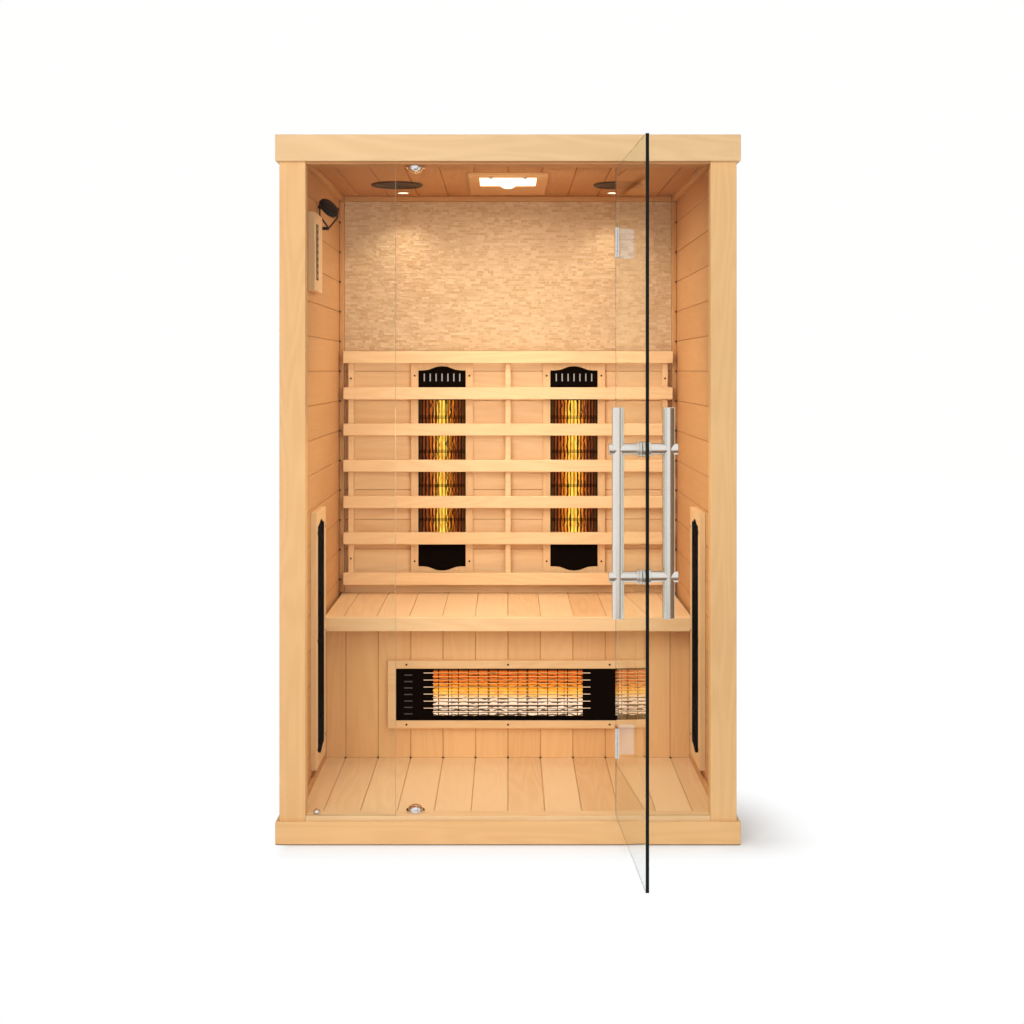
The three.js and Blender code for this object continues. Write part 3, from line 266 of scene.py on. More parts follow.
def wood_group():
    """Planed softwood: X of the vector runs along the grain and Y across the planks."""
    if "planed_softwood" in bpy.data.node_groups:
        return bpy.data.node_groups["planed_softwood"]
    inputs = (
        ("Vector", "NodeSocketVector", None),
        ("Light Wood", "NodeSocketColor", (0.8, 0.6, 0.35, 1)),
        ("Grain", "NodeSocketColor", (0.6, 0.35, 0.15, 1)),
        ("Plank Pitch", "NodeSocketFloat", 0.1),
        ("Plank Datum", "NodeSocketFloat", 0.0),
        ("Plank Contrast", "NodeSocketFloat", 0.35),
    )
    outputs = (
        ("Color", "NodeSocketColor"), ("Roughness", "NodeSocketFloat"), ("Height", "NodeSocketFloat"))
    tree, source, sink = new_group("planed_softwood", inputs, outputs)
    axes = put(tree, "ShaderNodeSeparateXYZ", {0: source["Vector"]}).outputs
    shifted = maths(tree, "SUBTRACT", axes["Y"], source["Plank Datum"])
    plank = maths(tree, "FLOOR", maths(tree, "DIVIDE", shifted, source["Plank Pitch"]))
    tone = put(tree, "ShaderNodeTexWhiteNoise", {"W": plank}, noise_dimensions="1D").outputs["Value"]
    along = maths(tree, "MULTIPLY_ADD", tone, 7.0, axes["X"])
    place = put(tree, "ShaderNodeCombineXYZ", {0: along, 1: axes["Y"], 2: axes["Z"]}).outputs[0]
    long_place = put(tree, "ShaderNodeVectorMath", {0: place, 1: (0.9, 9.0, 9.0)}, operation="MULTIPLY")
    bend = put(tree, "ShaderNodeTexNoise", {
        "Vector": long_place.outputs[0], "Scale": 1.0, "Detail": 2.0, "Roughness": 0.45}).outputs[0]
    rings = maths(tree, "SINE", maths(tree, "MULTIPLY", bend, 95.0))
    rings = maths(tree, "MULTIPLY_ADD", rings, 0.5, 0.5)
    fine_place = put(tree, "ShaderNodeVectorMath", {0: place, 1: (6.0, 420.0, 420.0)}, operation="MULTIPLY")
    fibre = put(tree, "ShaderNodeTexNoise", {
        "Vector": fine_place.outputs[0], "Scale": 1.0, "Detail": 3.0, "Roughness": 0.6}).outputs[0]
    broad = put(tree, "ShaderNodeTexNoise", {
        "Vector": place, "Scale": 3.0, "Detail": 2.0, "Roughness": 0.5}).outputs[0]
    shade = maths(tree, "MULTIPLY", rings, 0.20)
    shade = maths(tree, "MULTIPLY_ADD", fibre, 0.34, shade)
    shade = maths(tree, "MULTIPLY_ADD", maths(tree, "SUBTRACT", tone, 0.5), source["Plank Contrast"], shade)
    shade = maths(tree, "MULTIPLY_ADD", maths(tree, "SUBTRACT", broad, 0.5), 0.5, shade)
    clear = put(tree, "ShaderNodeClamp", {"Value": shade}).outputs[0]
    timber = mixed(tree, clear, source["Light Wood"], source["Grain"])
    apart = maths(tree, "PINGPONG", shifted, maths(tree, "MULTIPLY", source["Plank Pitch"], 0.5))
    joint = put(tree, "ShaderNodeMapRange", {0: apart, 1: 0.9 * MM, 2: 2.4 * MM, 3: 0.38, 4: 0.0}).outputs[0]
    dark = mixed(tree, 1.0, source["Grain"], (0.45, 0.32, 0.22, 1), "MULTIPLY")
    tree.links.new(mixed(tree, joint, timber, dark), sink["Color"])
    tree.links.new(maths(tree, "MULTIPLY_ADD", fibre, 0.22, 0.40), sink["Roughness"])
    tree.links.new(maths(tree, "MULTIPLY_ADD", rings, 0.3, fibre), sink["Height"])
    return tree


def patina_group():
    """Smudges and fine tool marks on metal and plastic: X of the vector runs along the marks."""
    if "handled_surface" in bpy.data.node_groups:
        return bpy.data.node_groups["handled_surface"]
    inputs = (
        ("Vector", "NodeSocketVector", None),
        ("Base", "NodeSocketColor", (0.5, 0.5, 0.5, 1)),
        ("Roughness", "NodeSocketFloat", 0.3),
        ("Smudge", "NodeSocketFloat", 0.1),
        ("Mark Scale", "NodeSocketFloat", 900.0),
        ("Mark Stretch", "NodeSocketFloat", 1.0),
    )
    outputs = (
        ("Color", "NodeSocketColor"), ("Roughness", "NodeSocketFloat"), ("Height", "NodeSocketFloat"))
    tree, source, sink = new_group("handled_surface", inputs, outputs)
    axes = put(tree, "ShaderNodeSeparateXYZ", {0: source["Vector"]}).outputs
    along = maths(tree, "MULTIPLY", axes["X"], source["Mark Stretch"])
    place = put(tree, "ShaderNodeCombineXYZ", {0: along, 1: axes["Y"], 2: axes["Z"]}).outputs[0]
    marks = put(tree, "ShaderNodeTexNoise", {
        "Vector": place, "Scale": source["Mark Scale"], "Detail": 2.0}).outputs[0]
    cloud = put(tree, "ShaderNodeTexNoise", {
        "Vector": source["Vector"], "Scale": 14.0, "Detail": 3.0}).outputs[0]
    both = maths(tree, "MULTIPLY_ADD", marks, 0.5, maths(tree, "MULTIPLY", cloud, 0.5))
    centred = maths(tree, "SUBTRACT", both, 0.5)
    rough = maths(tree, "MULTIPLY_ADD", centred, source["Smudge"], source["Roughness"])
    dark = mixed(tree, 0.35, source["Base"], (0, 0, 0, 1))
    tree.links.new(mixed(tree, maths(tree, "MULTIPLY", both, 0.4), source["Base"], dark), sink["Color"])
    tree.links.new(rough, sink["Roughness"])
    tree.links.new(marks, sink["Height"])
    return tree


def glow_group():
    """Uneven light: two colours in soft patches, which the range from Low to High sets apart."""
    if "uneven_glow" in bpy.data.node_groups:
        return bpy.data.node_groups["uneven_glow"]
    inputs = (
        ("Vector", "NodeSocketVector", None),
        ("Scale", "NodeSocketFloat", 30.0),
        ("Detail", "NodeSocketFloat", 2.0),
        ("Low", "NodeSocketFloat", 0.0),
        ("High", "NodeSocketFloat", 1.0),
        ("First", "NodeSocketColor", (1, 1, 1, 1)),
        ("Second", "NodeSocketColor", (0.8, 0.8, 0.8, 1)),
    )
    tree, source, sink = new_group("uneven_glow", inputs, (("Color", "NodeSocketColor"),))
    patch = put(tree, "ShaderNodeTexNoise", {
        "Vector": source["Vector"], "Scale": source["Scale"], "Detail": source["Detail"]}).outputs[0]
    level = put(tree, "ShaderNodeMapRange", {0: patch, 1: source["Low"], 2: source["High"]}).outputs[0]
    tree.links.new(mixed(tree, level, source["First"], source["Second"]), sink["Color"])
    return tree


def reflector_group():
    """Light on a heater's reflector: X of the vector runs across the unit and Y along it."""
    if "streaked_reflector" in bpy.data.node_groups:
        return bpy.data.node_groups["streaked_reflector"]
    inputs = (
        ("Vector", "NodeSocketVector", None),
        ("Shift", "NodeSocketFloat", 0.0),
        ("Stripes", "NodeSocketFloat", 1.0),
    )
    outputs = (("Heat", "NodeSocketFloat"), ("Dark", "NodeSocketFloat"))
    reach, rim_start, stripe_pitch = 80 * MM, 69.5 * MM, 11.6 * MM
    tree, source, sink = new_group("streaked_reflector", inputs, outputs)
    x = put(tree, "ShaderNodeSeparateXYZ", {0: source["Vector"]}).outputs["X"]
    stretch = put(tree, "ShaderNodeMapping", {"Vector": source["Vector"], "Scale": (240.0, 30.0, 1.0)})
    streak = put(tree, "ShaderNodeTexNoise", {
        "Vector": stretch.outputs[0], "Scale": 1.0, "Detail": 3.0}).outputs[0]
    falloff = maths(tree, "ABSOLUTE", maths(tree, "DIVIDE", maths(tree, "ADD", x, source["Shift"]), reach))
    wobble = maths(tree, "MULTIPLY", maths(tree, "SUBTRACT", streak, 0.5), 0.62)
    heat = maths(tree, "SUBTRACT", 1.0, maths(tree, "ADD", falloff, wobble))
    loose = put(tree, "ShaderNodeMapping", {"Vector": source["Vector"], "Scale": (42.0, 34.0, 1.0)})
    bend = put(tree, "ShaderNodeTexNoise", {
        "Vector": loose.outputs[0], "Scale": 1.0, "Detail": 1.0}).outputs[0]
    sway = maths(tree, "MULTIPLY", maths(tree, "SUBTRACT", bend, 0.5), 16 * MM)
    turns = maths(tree, "MULTIPLY", maths(tree, "ADD", x, sway), 2 * math.pi / stripe_pitch)
    stripe = maths(tree, "GREATER_THAN", maths(tree, "SINE", turns), 0.35)
    dark = maths(tree, "MULTIPLY", stripe, source["Stripes"])
    rim = maths(tree, "GREATER_THAN", maths(tree, "ABSOLUTE", x), rim_start)
    tree.links.new(heat, sink["Heat"])
    tree.links.new(maths(tree, "MAXIMUM", dark, rim), sink["Dark"])
    return tree


# Materials

def rgba(colour):
    return (*colour, 1.0)


def blank_material(name):
    """A new material with its tree and its Principled shader."""
    material = bpy.data.materials.new(name)
    material.use_nodes = True
    return material, material.node_tree, material.node_tree.nodes["Principled BSDF"]


def grain_vector(tree, along):
    """Object coordinates turned so that X runs along the grain and Y across the planks."""
    place = put(tree, "ShaderNodeTexCoord").outputs["Object"]
    axes = put(tree, "ShaderNodeSeparateXYZ", {0: place}).outputs
    order = {"X": "XZY", "Y": "YXZ", "Z": "ZXY", "Y_up": "YZX"}[along]
    return put(tree, "ShaderNodeCombineXYZ", {i: axes[a] for i, a in enumerate(order)}).outputs[0]


def wood(name, along, tone, grain, pitch, datum, contrast):
    """Planed softwood with its grain along one axis and its planks across another."""
    if name in bpy.data.materials:
        return bpy.data.materials[name]
    material, tree, shader = blank_material(name)
    values = {
        "Vector": grain_vector(tree, along), "Light Wood": rgba(tone), "Grain": rgba(grain),
        "Plank Pitch": pitch, "Plank Datum": datum, "Plank Contrast": contrast}
    group = put(tree, "ShaderNodeGroup", values, node_tree=wood_group())
    bump = put(tree, "ShaderNodeBump", {
        "Strength": 0.12, "Distance": 0.4 * MM, "Height": group.outputs["Height"]})
    tree.links.new(group.outputs["Color"], shader.inputs["Base Color"])
    tree.links.new(group.outputs["Roughness"], shader.inputs["Roughness"])
    tree.links.new(bump.outputs[0], shader.inputs["Normal"])
    shader.inputs["Specular IOR Level"].default_value = 0.35
    return material


def softwood(tone, along, pitch=WHOLE_BOARD, datum=-WHOLE_BOARD / 2, contrast=0.25):
    """Softwood in one of the tones of the settings, as a whole board or as planks."""
    name = f"{tone}_softwood_{along}" + ("" if pitch == WHOLE_BOARD else "_planks")
    light = getattr(colours(), f"{tone}_wood")
    grain = getattr(colours(), f"{tone}_grain")
    return wood(name, along, light, grain, pitch, datum, contrast)


def handled(
        name, base, metallic, roughness, smudge=0.2, scale=900.0, stretch=1.0, along="Z", bump=0.05,
        gloss=0.5):
    """Metal or plastic with smudges and tool marks."""
    if name in bpy.data.materials:
        return bpy.data.materials[name]
    material, tree, shader = blank_material(name)
    values = {
        "Vector": grain_vector(tree, along), "Base": rgba(base), "Roughness": roughness, "Smudge": smudge,
        "Mark Scale": scale, "Mark Stretch": stretch}
    group = put(tree, "ShaderNodeGroup", values, node_tree=patina_group())
    height = put(tree, "ShaderNodeBump", {
        "Strength": bump, "Distance": 0.2 * MM, "Height": group.outputs["Height"]})
    tree.links.new(group.outputs["Color"], shader.inputs["Base Color"])
    tree.links.new(group.outputs["Roughness"], shader.inputs["Roughness"])
    tree.links.new(height.outputs[0], shader.inputs["Normal"])
    shader.inputs["Metallic"].default_value = metallic
    shader.inputs["Specular IOR Level"].default_value = gloss
    return material


def chrome():
    return handled("polished_chrome", (0.83, 0.83, 0.84), 1.0, 0.10, smudge=0.10, bump=0.01)


def brushed_steel():
    return handled(
        "brushed_stainless", (0.86, 0.82, 0.76), 1.0, 0.25, smudge=0.12, scale=1500.0, stretch=0.02,
        bump=0.03)


def black_metal():
    return handled("matt_black_paint", (0.007, 0.0045, 0.0035), 0.0, 0.5, smudge=0.25, bump=0.15, gloss=0.0)


def black_plastic():
    return handled(
        "satin_black_plastic", (0.012, 0.010, 0.009), 0.0, 0.4, smudge=0.2, scale=1600.0, bump=0.12,
        gloss=0.25)


def dark_screw():
    return handled("browned_screw", (0.10, 0.055, 0.025), 0.6, 0.45, smudge=0.2)


def sheet_aluminium():
    return handled("sheet_aluminium", (0.66, 0.67, 0.68), 1.0, 0.38, smudge=0.2, stretch=0.05, along="X")


def clear_glass(name, index, tint):
    """Clear pane; shadow rays pass, so the lamps light the cabin through it."""
    if name in bpy.data.materials:
        return bpy.data.materials[name]
    material, tree, shader = blank_material(name)
    shader.inputs["Base Color"].default_value = rgba(tint)
    shader.inputs["Roughness"].default_value = 0.0
    shader.inputs["Transmission Weight"].default_value = 1.0
    shader.inputs["IOR"].default_value = index
    path = put(tree, "ShaderNodeLightPath")
    passing = maths(tree, "MAXIMUM", path.outputs["Is Shadow Ray"], path.outputs["Is Diffuse Ray"])
    window = put(tree, "ShaderNodeBsdfTransparent", {"Color": (0.96, 0.98, 0.97, 1)})
    blend = put(tree, "ShaderNodeMixShader", {
        0: passing, 1: shader.outputs[0], 2: window.outputs[0]})
    tree.links.new(blend.outputs[0], tree.nodes["Material Output"].inputs["Surface"])
    return material


def dark_glass_edge():
    return handled("ground_glass_edge", colours().glass_edge, 0.0, 0.5, smudge=0.1, bump=0.03, gloss=0.12)


def pale_glass_edge():
    return handled("pale_glass_edge", colours().pale_edge, 0.0, 0.35, smudge=0.1, bump=0.03)


def bright_glass_edge():
    return handled("bright_glass_edge", colours().bright_edge, 0.0, 0.35, smudge=0.1, bump=0.03)


def glowing(name, colour, strength):
    """A lit diffuser with a slightly uneven face."""
    if name in bpy.data.materials:
        return bpy.data.materials[name]
    material, tree, shader = blank_material(name)
    place = put(tree, "ShaderNodeTexCoord").outputs["Object"]
    dim = tuple(0.82 * part for part in colour)
    values = {"Vector": place, "First": rgba(colour), "Second": rgba(dim)}
    group = put(tree, "ShaderNodeGroup", values, node_tree=glow_group())
    tree.links.new(group.outputs["Color"], shader.inputs["Emission Color"])
    shader.inputs["Emission Strength"].default_value = strength
    shader.inputs["Base Color"].default_value = rgba(colour)
    shader.inputs["Roughness"].default_value = 0.35
    return material


def stone_chips():
    """Split stone: each chip has its own tone, with pits and veins."""
    name = "split_stone"
    if name in bpy.data.materials:
        return bpy.data.materials[name]
    material, tree, shader = blank_material(name)
    place = put(tree, "ShaderNodeTexCoord").outputs["Object"]
    chip = put(tree, "ShaderNodeNewGeometry").outputs["Random Per Island"]
    vein = put(tree, "ShaderNodeTexNoise", {"Vector": place, "Scale": 140.0, "Detail": 5.0}).outputs[0]
    tone = maths(tree, "ADD", maths(tree, "MULTIPLY", chip, 0.62), maths(tree, "MULTIPLY", vein, 0.38))
    colour = mixed(tree, tone, rgba(colours().stone_shade), rgba(colours().stone))
    tree.links.new(colour, shader.inputs["Base Color"])
    height = put(tree, "ShaderNodeBump", {"Strength": 0.6, "Distance": 1.2 * MM, "Height": vein})
    tree.links.new(height.outputs[0], shader.inputs["Normal"])
    shader.inputs["Roughness"].default_value = 0.8
    return material


def heat_ramp(tree, factor, stops):
    """A colour ramp from (position, colour) stops."""
    ramp = put(tree, "ShaderNodeValToRGB", {0: factor})
    while len(ramp.color_ramp.elements) < len(stops):
        ramp.color_ramp.elements.new(0.5)
    for element, (position, colour) in zip(ramp.color_ramp.elements, stops):
        element.position = position
        element.color = rgba(colour)
    return ramp.outputs[0]


def lit_reflector(name, stops, stripes, strength, shift):
    """Emission that falls off across the unit's width, with streaks and the guard's dark reflections."""
    if name in bpy.data.materials:
        return bpy.data.materials[name]
    material, tree, shader = blank_material(name)
    place = put(tree, "ShaderNodeTexCoord").outputs["Object"]
    values = {"Vector": place, "Shift": shift, "Stripes": stripes}
    group = put(tree, "ShaderNodeGroup", values, node_tree=reflector_group())
    colour = heat_ramp(tree, group.outputs["Heat"], stops)
    lit = mixed(tree, group.outputs["Dark"], colour, (0.012, 0.004, 0.002, 1))
    tree.links.new(lit, shader.inputs["Emission Color"])
    shader.inputs["Emission Strength"].default_value = strength
    shader.inputs["Base Color"].default_value = (0.05, 0.02, 0.01, 1)
    shader.inputs["Roughness"].default_value = 0.4
    return material


def wall_glow():
    stops = (
        (0.10, (0.075, 0.013, 0.006)), (0.42, (0.24, 0.042, 0.007)), (0.66, colours().glow_edge),
        (0.90, colours().glow))
    return lit_reflector("lit_wall_reflector", stops, 0.97, 1.2, 0.0)


def bench_glow():
    stops = (
        (0.0, (0.70, 0.10, 0.004)), (0.30, (0.98, 0.30, 0.010)), (0.54, (1.0, 0.48, 0.05)),
        (0.78, (1.0, 0.74, 0.52)))
    return lit_reflector("lit_bench_reflector", stops, 0.92, 1.1, 0.045)


def heated_tube(name, hot, cool, strength):
    """Quartz tube that glows unevenly along its length."""
    if name in bpy.data.materials:
        return bpy.data.materials[name]
    material, tree, shader = blank_material(name)
    place = put(tree, "ShaderNodeTexCoord").outputs["Object"]
    stretch = put(tree, "ShaderNodeMapping", {"Vector": place, "Scale": (190.0, 38.0, 60.0)})
    values = {
        "Vector": stretch.outputs[0], "Scale": 1.0, "Detail": 3.0, "Low": 0.36, "High": 0.62,
        "First": rgba(cool), "Second": rgba(hot)}
    group = put(tree, "ShaderNodeGroup", values, node_tree=glow_group())
    tree.links.new(group.outputs["Color"], shader.inputs["Emission Color"])
    shader.inputs["Emission Strength"].default_value = strength
    shader.inputs["Base Color"].default_value = (0.2, 0.08, 0.03, 1)
    shader.inputs["Roughness"].default_value = 0.3
    return material


def wall_tube():
    return heated_tube("heated_wall_quartz", (1.0, 0.70, 0.09), (0.80, 0.24, 0.012), 1.3)


def bench_tube():
    return heated_tube("heated_bench_quartz", (1.0, 0.56, 0.06), (0.92, 0.26, 0.012), 1.1)


def slot_sheet(strength):
    """Sheet behind a plate's slots: pale where it is lit from inside the unit, and otherwise dark."""
    tone = (0.46, 0.43, 0.40) if strength else (0.09, 0.075, 0.065)
    return glowing(f"slot_sheet_{round(100 * strength)}", tone, strength)


def bright_wire():
    """Rods lit by the tube: orange above, pale below and at the ends that pass over the plates."""
    plate_edge, pale_height, orange_height = 228 * MM, -14 * MM, 12 * MM
    material, tree, shader = blank_material("bright_wire")
    place = put(tree, "ShaderNodeTexCoord").outputs["Object"]
    axes = put(tree, "ShaderNodeSeparateXYZ", {0: place})
    upper = put(tree, "ShaderNodeMapRange", {
        0: axes.outputs["X"], 1: pale_height, 2: orange_height}).outputs[0]
    inside = maths(tree, "LESS_THAN", maths(tree, "ABSOLUTE", axes.outputs["Y"]), plate_edge)
    tone = mixed(tree, maths(tree, "MULTIPLY", upper, inside), (1.0, 0.72, 0.47, 1), (1.0, 0.42, 0.035, 1))
    tree.links.new(tone, shader.inputs["Emission Color"])
    shader.inputs["Emission Strength"].default_value = 0.62
    shader.inputs["Base Color"].default_value = (0.5, 0.32, 0.2, 1)
    shader.inputs["Roughness"].default_value = 0.4
    return material


def speaker_mesh():
    return handled("bronze_speaker_mesh", (0.085, 0.06, 0.045), 0.3, 0.5, smudge=0.25, scale=1800.0, bump=0.3)


def pale_key():
    return handled("pale_key", (0.55, 0.53, 0.50), 0.0, 0.4, smudge=0.2)


def studio_floor():
    """Pale floor that keeps the shadow near the cabin and fades to white away from it."""
    left_edge, right_edge, back_edge, front_reach, fade_reach = -0.58, 0.60, -0.42, 0.63, 0.26
    material, tree, shader = blank_material("studio_floor")
    shader.inputs["Base Color"].default_value = (0.93, 0.93, 0.93, 1)
    shader.inputs["Roughness"].default_value = 0.9
    shader.inputs["Specular IOR Level"].default_value = 0.1
    path = put(tree, "ShaderNodeLightPath")
    seen = maths(tree, "MAXIMUM", path.outputs["Is Camera Ray"], path.outputs["Is Glossy Ray"])
    seen = maths(tree, "MAXIMUM", seen, path.outputs["Is Transmission Ray"])
    place = put(tree, "ShaderNodeTexCoord").outputs["Object"]
    axes = put(tree, "ShaderNodeSeparateXYZ", {0: place})
    right_x = maths(tree, "SUBTRACT", axes.outputs["X"], right_edge)
    left_x = maths(tree, "MULTIPLY", maths(tree, "SUBTRACT", axes.outputs["X"], left_edge), -6.0)
    away_x = maths(tree, "MAXIMUM", maths(tree, "MAXIMUM", left_x, right_x), 0.0)
    front_y = maths(tree, "SUBTRACT", maths(tree, "MULTIPLY", axes.outputs["Y"], -1.3), front_reach)
    back_y = maths(tree, "MULTIPLY", maths(tree, "SUBTRACT", axes.outputs["Y"], back_edge), 0.52)
    away_y = maths(tree, "MAXIMUM", maths(tree, "MAXIMUM", front_y, back_y), 0.0)
    squares = maths(tree, "ADD", maths(tree, "POWER", away_x, 2.0), maths(tree, "POWER", away_y, 2.0))
    away = maths(tree, "SQRT", squares)
    fade = put(
        tree, "ShaderNodeMapRange", {0: away, 1: 0.0, 2: fade_reach, 3: 0.22, 4: 1.0},
        interpolation_type="SMOOTHSTEP")
    white = put(tree, "ShaderNodeEmission", {"Color": (1, 1, 1, 1), "Strength": 1.0})
    share = maths(tree, "MULTIPLY", fade.outputs[0], seen)
    blend = put(tree, "ShaderNodeMixShader", {0: share, 1: shader.outputs[0], 2: white.outputs[0]})
    tree.links.new(blend.outputs[0], tree.nodes["Material Output"].inputs["Surface"])
    return material


# Meshes

def finish_piece(piece, body, slot, material, *nodes):
    """Links a piece, gives it its finish, and ties it to its body and CAD nodes. The slot is not used."""
    if piece.name not in bpy.context.scene.collection.objects:
        bpy.context.scene.collection.objects.link(piece)
    finishes = material if isinstance(material, tuple) else (material,)
    for finish in finishes:
        piece.data.materials.append(finish)
    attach(piece, body)
    if nodes:
        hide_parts(*nodes)
    return piece


def piece_from(shape, name, smooth_angle=None):
    """An object from a bmesh, flat shaded unless an angle for smooth faces is given."""
    bmesh.ops.recalc_face_normals(shape, faces=shape.faces)
    mesh = bpy.data.meshes.new(name)
    shape.to_mesh(mesh)
    shape.free()
    if smooth_angle is not None:
        mesh.shade_smooth()
        mesh.set_sharp_from_angle(angle=math.radians(smooth_angle))
    return bpy.data.objects.new(name, mesh)


def node_shape(node, windowed=False):
    """A node's own solid as a bmesh. Its flat faces are made whole unless they are windowed."""
    shape = bmesh.new()
    shape.from_mesh(frame["nodes"][node].data)
    bmesh.ops.remove_doubles(shape, verts=shape.verts, dist=0.01 * MM)
    if not windowed:
        flat = math.radians(0.5)
        bmesh.ops.dissolve_limit(shape, angle_limit=flat, verts=shape.verts, edges=shape.edges)
    return shape


def round_edges(shape, width, segments=2, least_angle=25):
    """Rounds the sharp edges of a bmesh."""
    least = math.radians(least_angle)
    sharp = [e for e in shape.edges if len(e.link_faces) == 2 and e.calc_face_angle(0) > least]
    bmesh.ops.bevel(
        shape, geom=sharp, offset=width, segments=segments, profile=0.5, affect="EDGES", clamp_overlap=True)


def dressed(node, body, slot, material, width=None, segments=2, smooth_angle=None):
    """A node's solid with rounded edges and a finish, standing for the node."""
    shape = node_shape(node, node in WINDOWED)
    width = sizes().edge_round if width is None else width
    if width:
        round_edges(shape, width, segments)
    piece = piece_from(shape, f"dressed_{node}", smooth_angle)
    return finish_piece(piece, body, slot, material, node)


def add_box(shape, low, high):
    """Adds a box between two corners to a bmesh and returns its vertices."""
    low, high = Vector(low), Vector(high)
    place = Matrix.Translation((low + high) / 2) @ Matrix.Diagonal((*(high - low), 1))
    return bmesh.ops.create_cube(shape, size=1, matrix=place)["verts"]


def add_rod(shape, start, end, radius, facets=32, end_radius=None):
    """Adds a closed round bar between two points to a bmesh."""
    start, end = Vector(start), Vector(end)
    line = end - start
    turn = line.to_track_quat("Z", "Y").to_matrix().to_4x4()
    place = Matrix.Translation((start + end) / 2) @ turn
    far = radius if end_radius is None else end_radius
    return bmesh.ops.create_cone(
        shape, cap_ends=True, segments=facets, radius1=radius, radius2=far, depth=line.length, matrix=place)


def add_turned(shape, profile, place, facets=40):
    """Adds a turned form to a bmesh: (radius, height) points from axis to axis, then placed."""
    rings = []
    for radius, height in profile:
        if radius == 0:
            rings.append([shape.verts.new(place @ Vector((0, 0, height)))])
            continue
        angles = (2 * math.pi * i / facets for i in range(facets))
        points = (Vector((radius * math.cos(a), radius * math.sin(a), height)) for a in angles)
        rings.append([shape.verts.new(place @ p) for p in points])
    for low, high in zip(rings, rings[1:]):
        for i in range(facets):
            j = (i + 1) % facets
            corners = [low[i % len(low)], low[j % len(low)], high[j % len(high)], high[i % len(high)]]
            shape.faces.new(list(dict.fromkeys(corners)))


def arc(radius, low, high, steps=10):
    """Quarter round from (radius, low) to (0, high) as (radius, height) points."""
    points = []
    for i in range(steps + 1):
        angle = math.pi / 2 * i / steps
        out = 0.0 if i == steps else radius * math.cos(angle)
        points.append((out, low + (high - low) * math.sin(angle)))
    return points


def add_screw(shape, place, radius, out):
    """Adds a low domed screw head whose axis is the direction out."""
    turn = Vector(out).to_track_quat("Z", "Y").to_matrix().to_4x4()
    where = Matrix.Translation(place) @ turn
    add_turned(shape, [(0, 0), (radius, 0), *arc(radius, 0.1 * radius, 0.45 * radius, 4)], where, 14)


# Operators

class SAUNA_OT_shell(bpy.types.Operator):
    """Dress the floor, walls, roof, posts, and crown and base boards"""

    bl_idname = "sauna.shell"
    bl_label = "Shell"

    def execute(self, context):
        pitch = sizes().plank_pitch
        planks = softwood("honey", "Y", pitch, 0.0, 0.8)
        deck = dressed("floor_panel", "cabin", "pale_wood", planks, width=0.8 * MM)
        self.plain_front(deck, softwood("honey", "X"), SILL_BACK)
        planks = softwood("dusky", "Y", pitch, 0.0, 0.35)
        ceiling = dressed("roof_panel", "cabin", "warm_wood", planks, width=0.0)
        # Painted shade: the head rail's front board takes the dark ceiling tone, which stands in for the
        # shade under the crown.
        self.plain_front(ceiling, softwood("dusky", "X", contrast=0.35), HEAD_RAIL_BACK)
        for name, _ in SIDES:
            planks = softwood("warm", "Y_up", pitch, PLANK_DATUM, 0.35)
            dressed(f"{name}_wall", "cabin", "warm_wood", planks, width=0.8 * MM)
            dressed(f"{name}_post", "cabin", "pale_wood", softwood("toasted", "Z"))
            dressed(f"crown_{name}_board", "cabin", "pale_wood", softwood("pale", "Y_up"))
            self.base_board(name, "Y_up")
        planks = softwood("honey", "X", pitch, PLANK_DATUM, 0.5)
        dressed("back_wall", "cabin", "warm_wood", planks, width=0.8 * MM)
        dressed("crown_front_board", "cabin", "pale_wood", softwood("pale", "X"))
        self.base_board("front", "X")
        return {"FINISHED"}

    def base_board(self, name, along):
        """A base board, whose rounded lower edge is painted dark as the shadow line along the floor."""
        edge = 3 * MM
        board = dressed(f"base_{name}_board", "cabin", "pale_wood", softwood("toasted", along), width=edge)
        # Painted shadow: the faces of the lower edge take a dark brown finish that stands in for the shadow
        # line at the floor.
        board.data.materials.append(handled("worn_wood_edge", (0.15, 0.075, 0.03), 0.0, 0.7, gloss=0.2))
        for face in board.data.polygons:
            if face.center.z < edge:
                face.material_index = 1

    def plain_front(self, piece, material, limit):
        """The rail along the front of a plank panel is one plain board."""
        piece.data.materials.append(material)
        for face in piece.data.polygons:
            if face.center.y < limit:
                face.material_index = 1


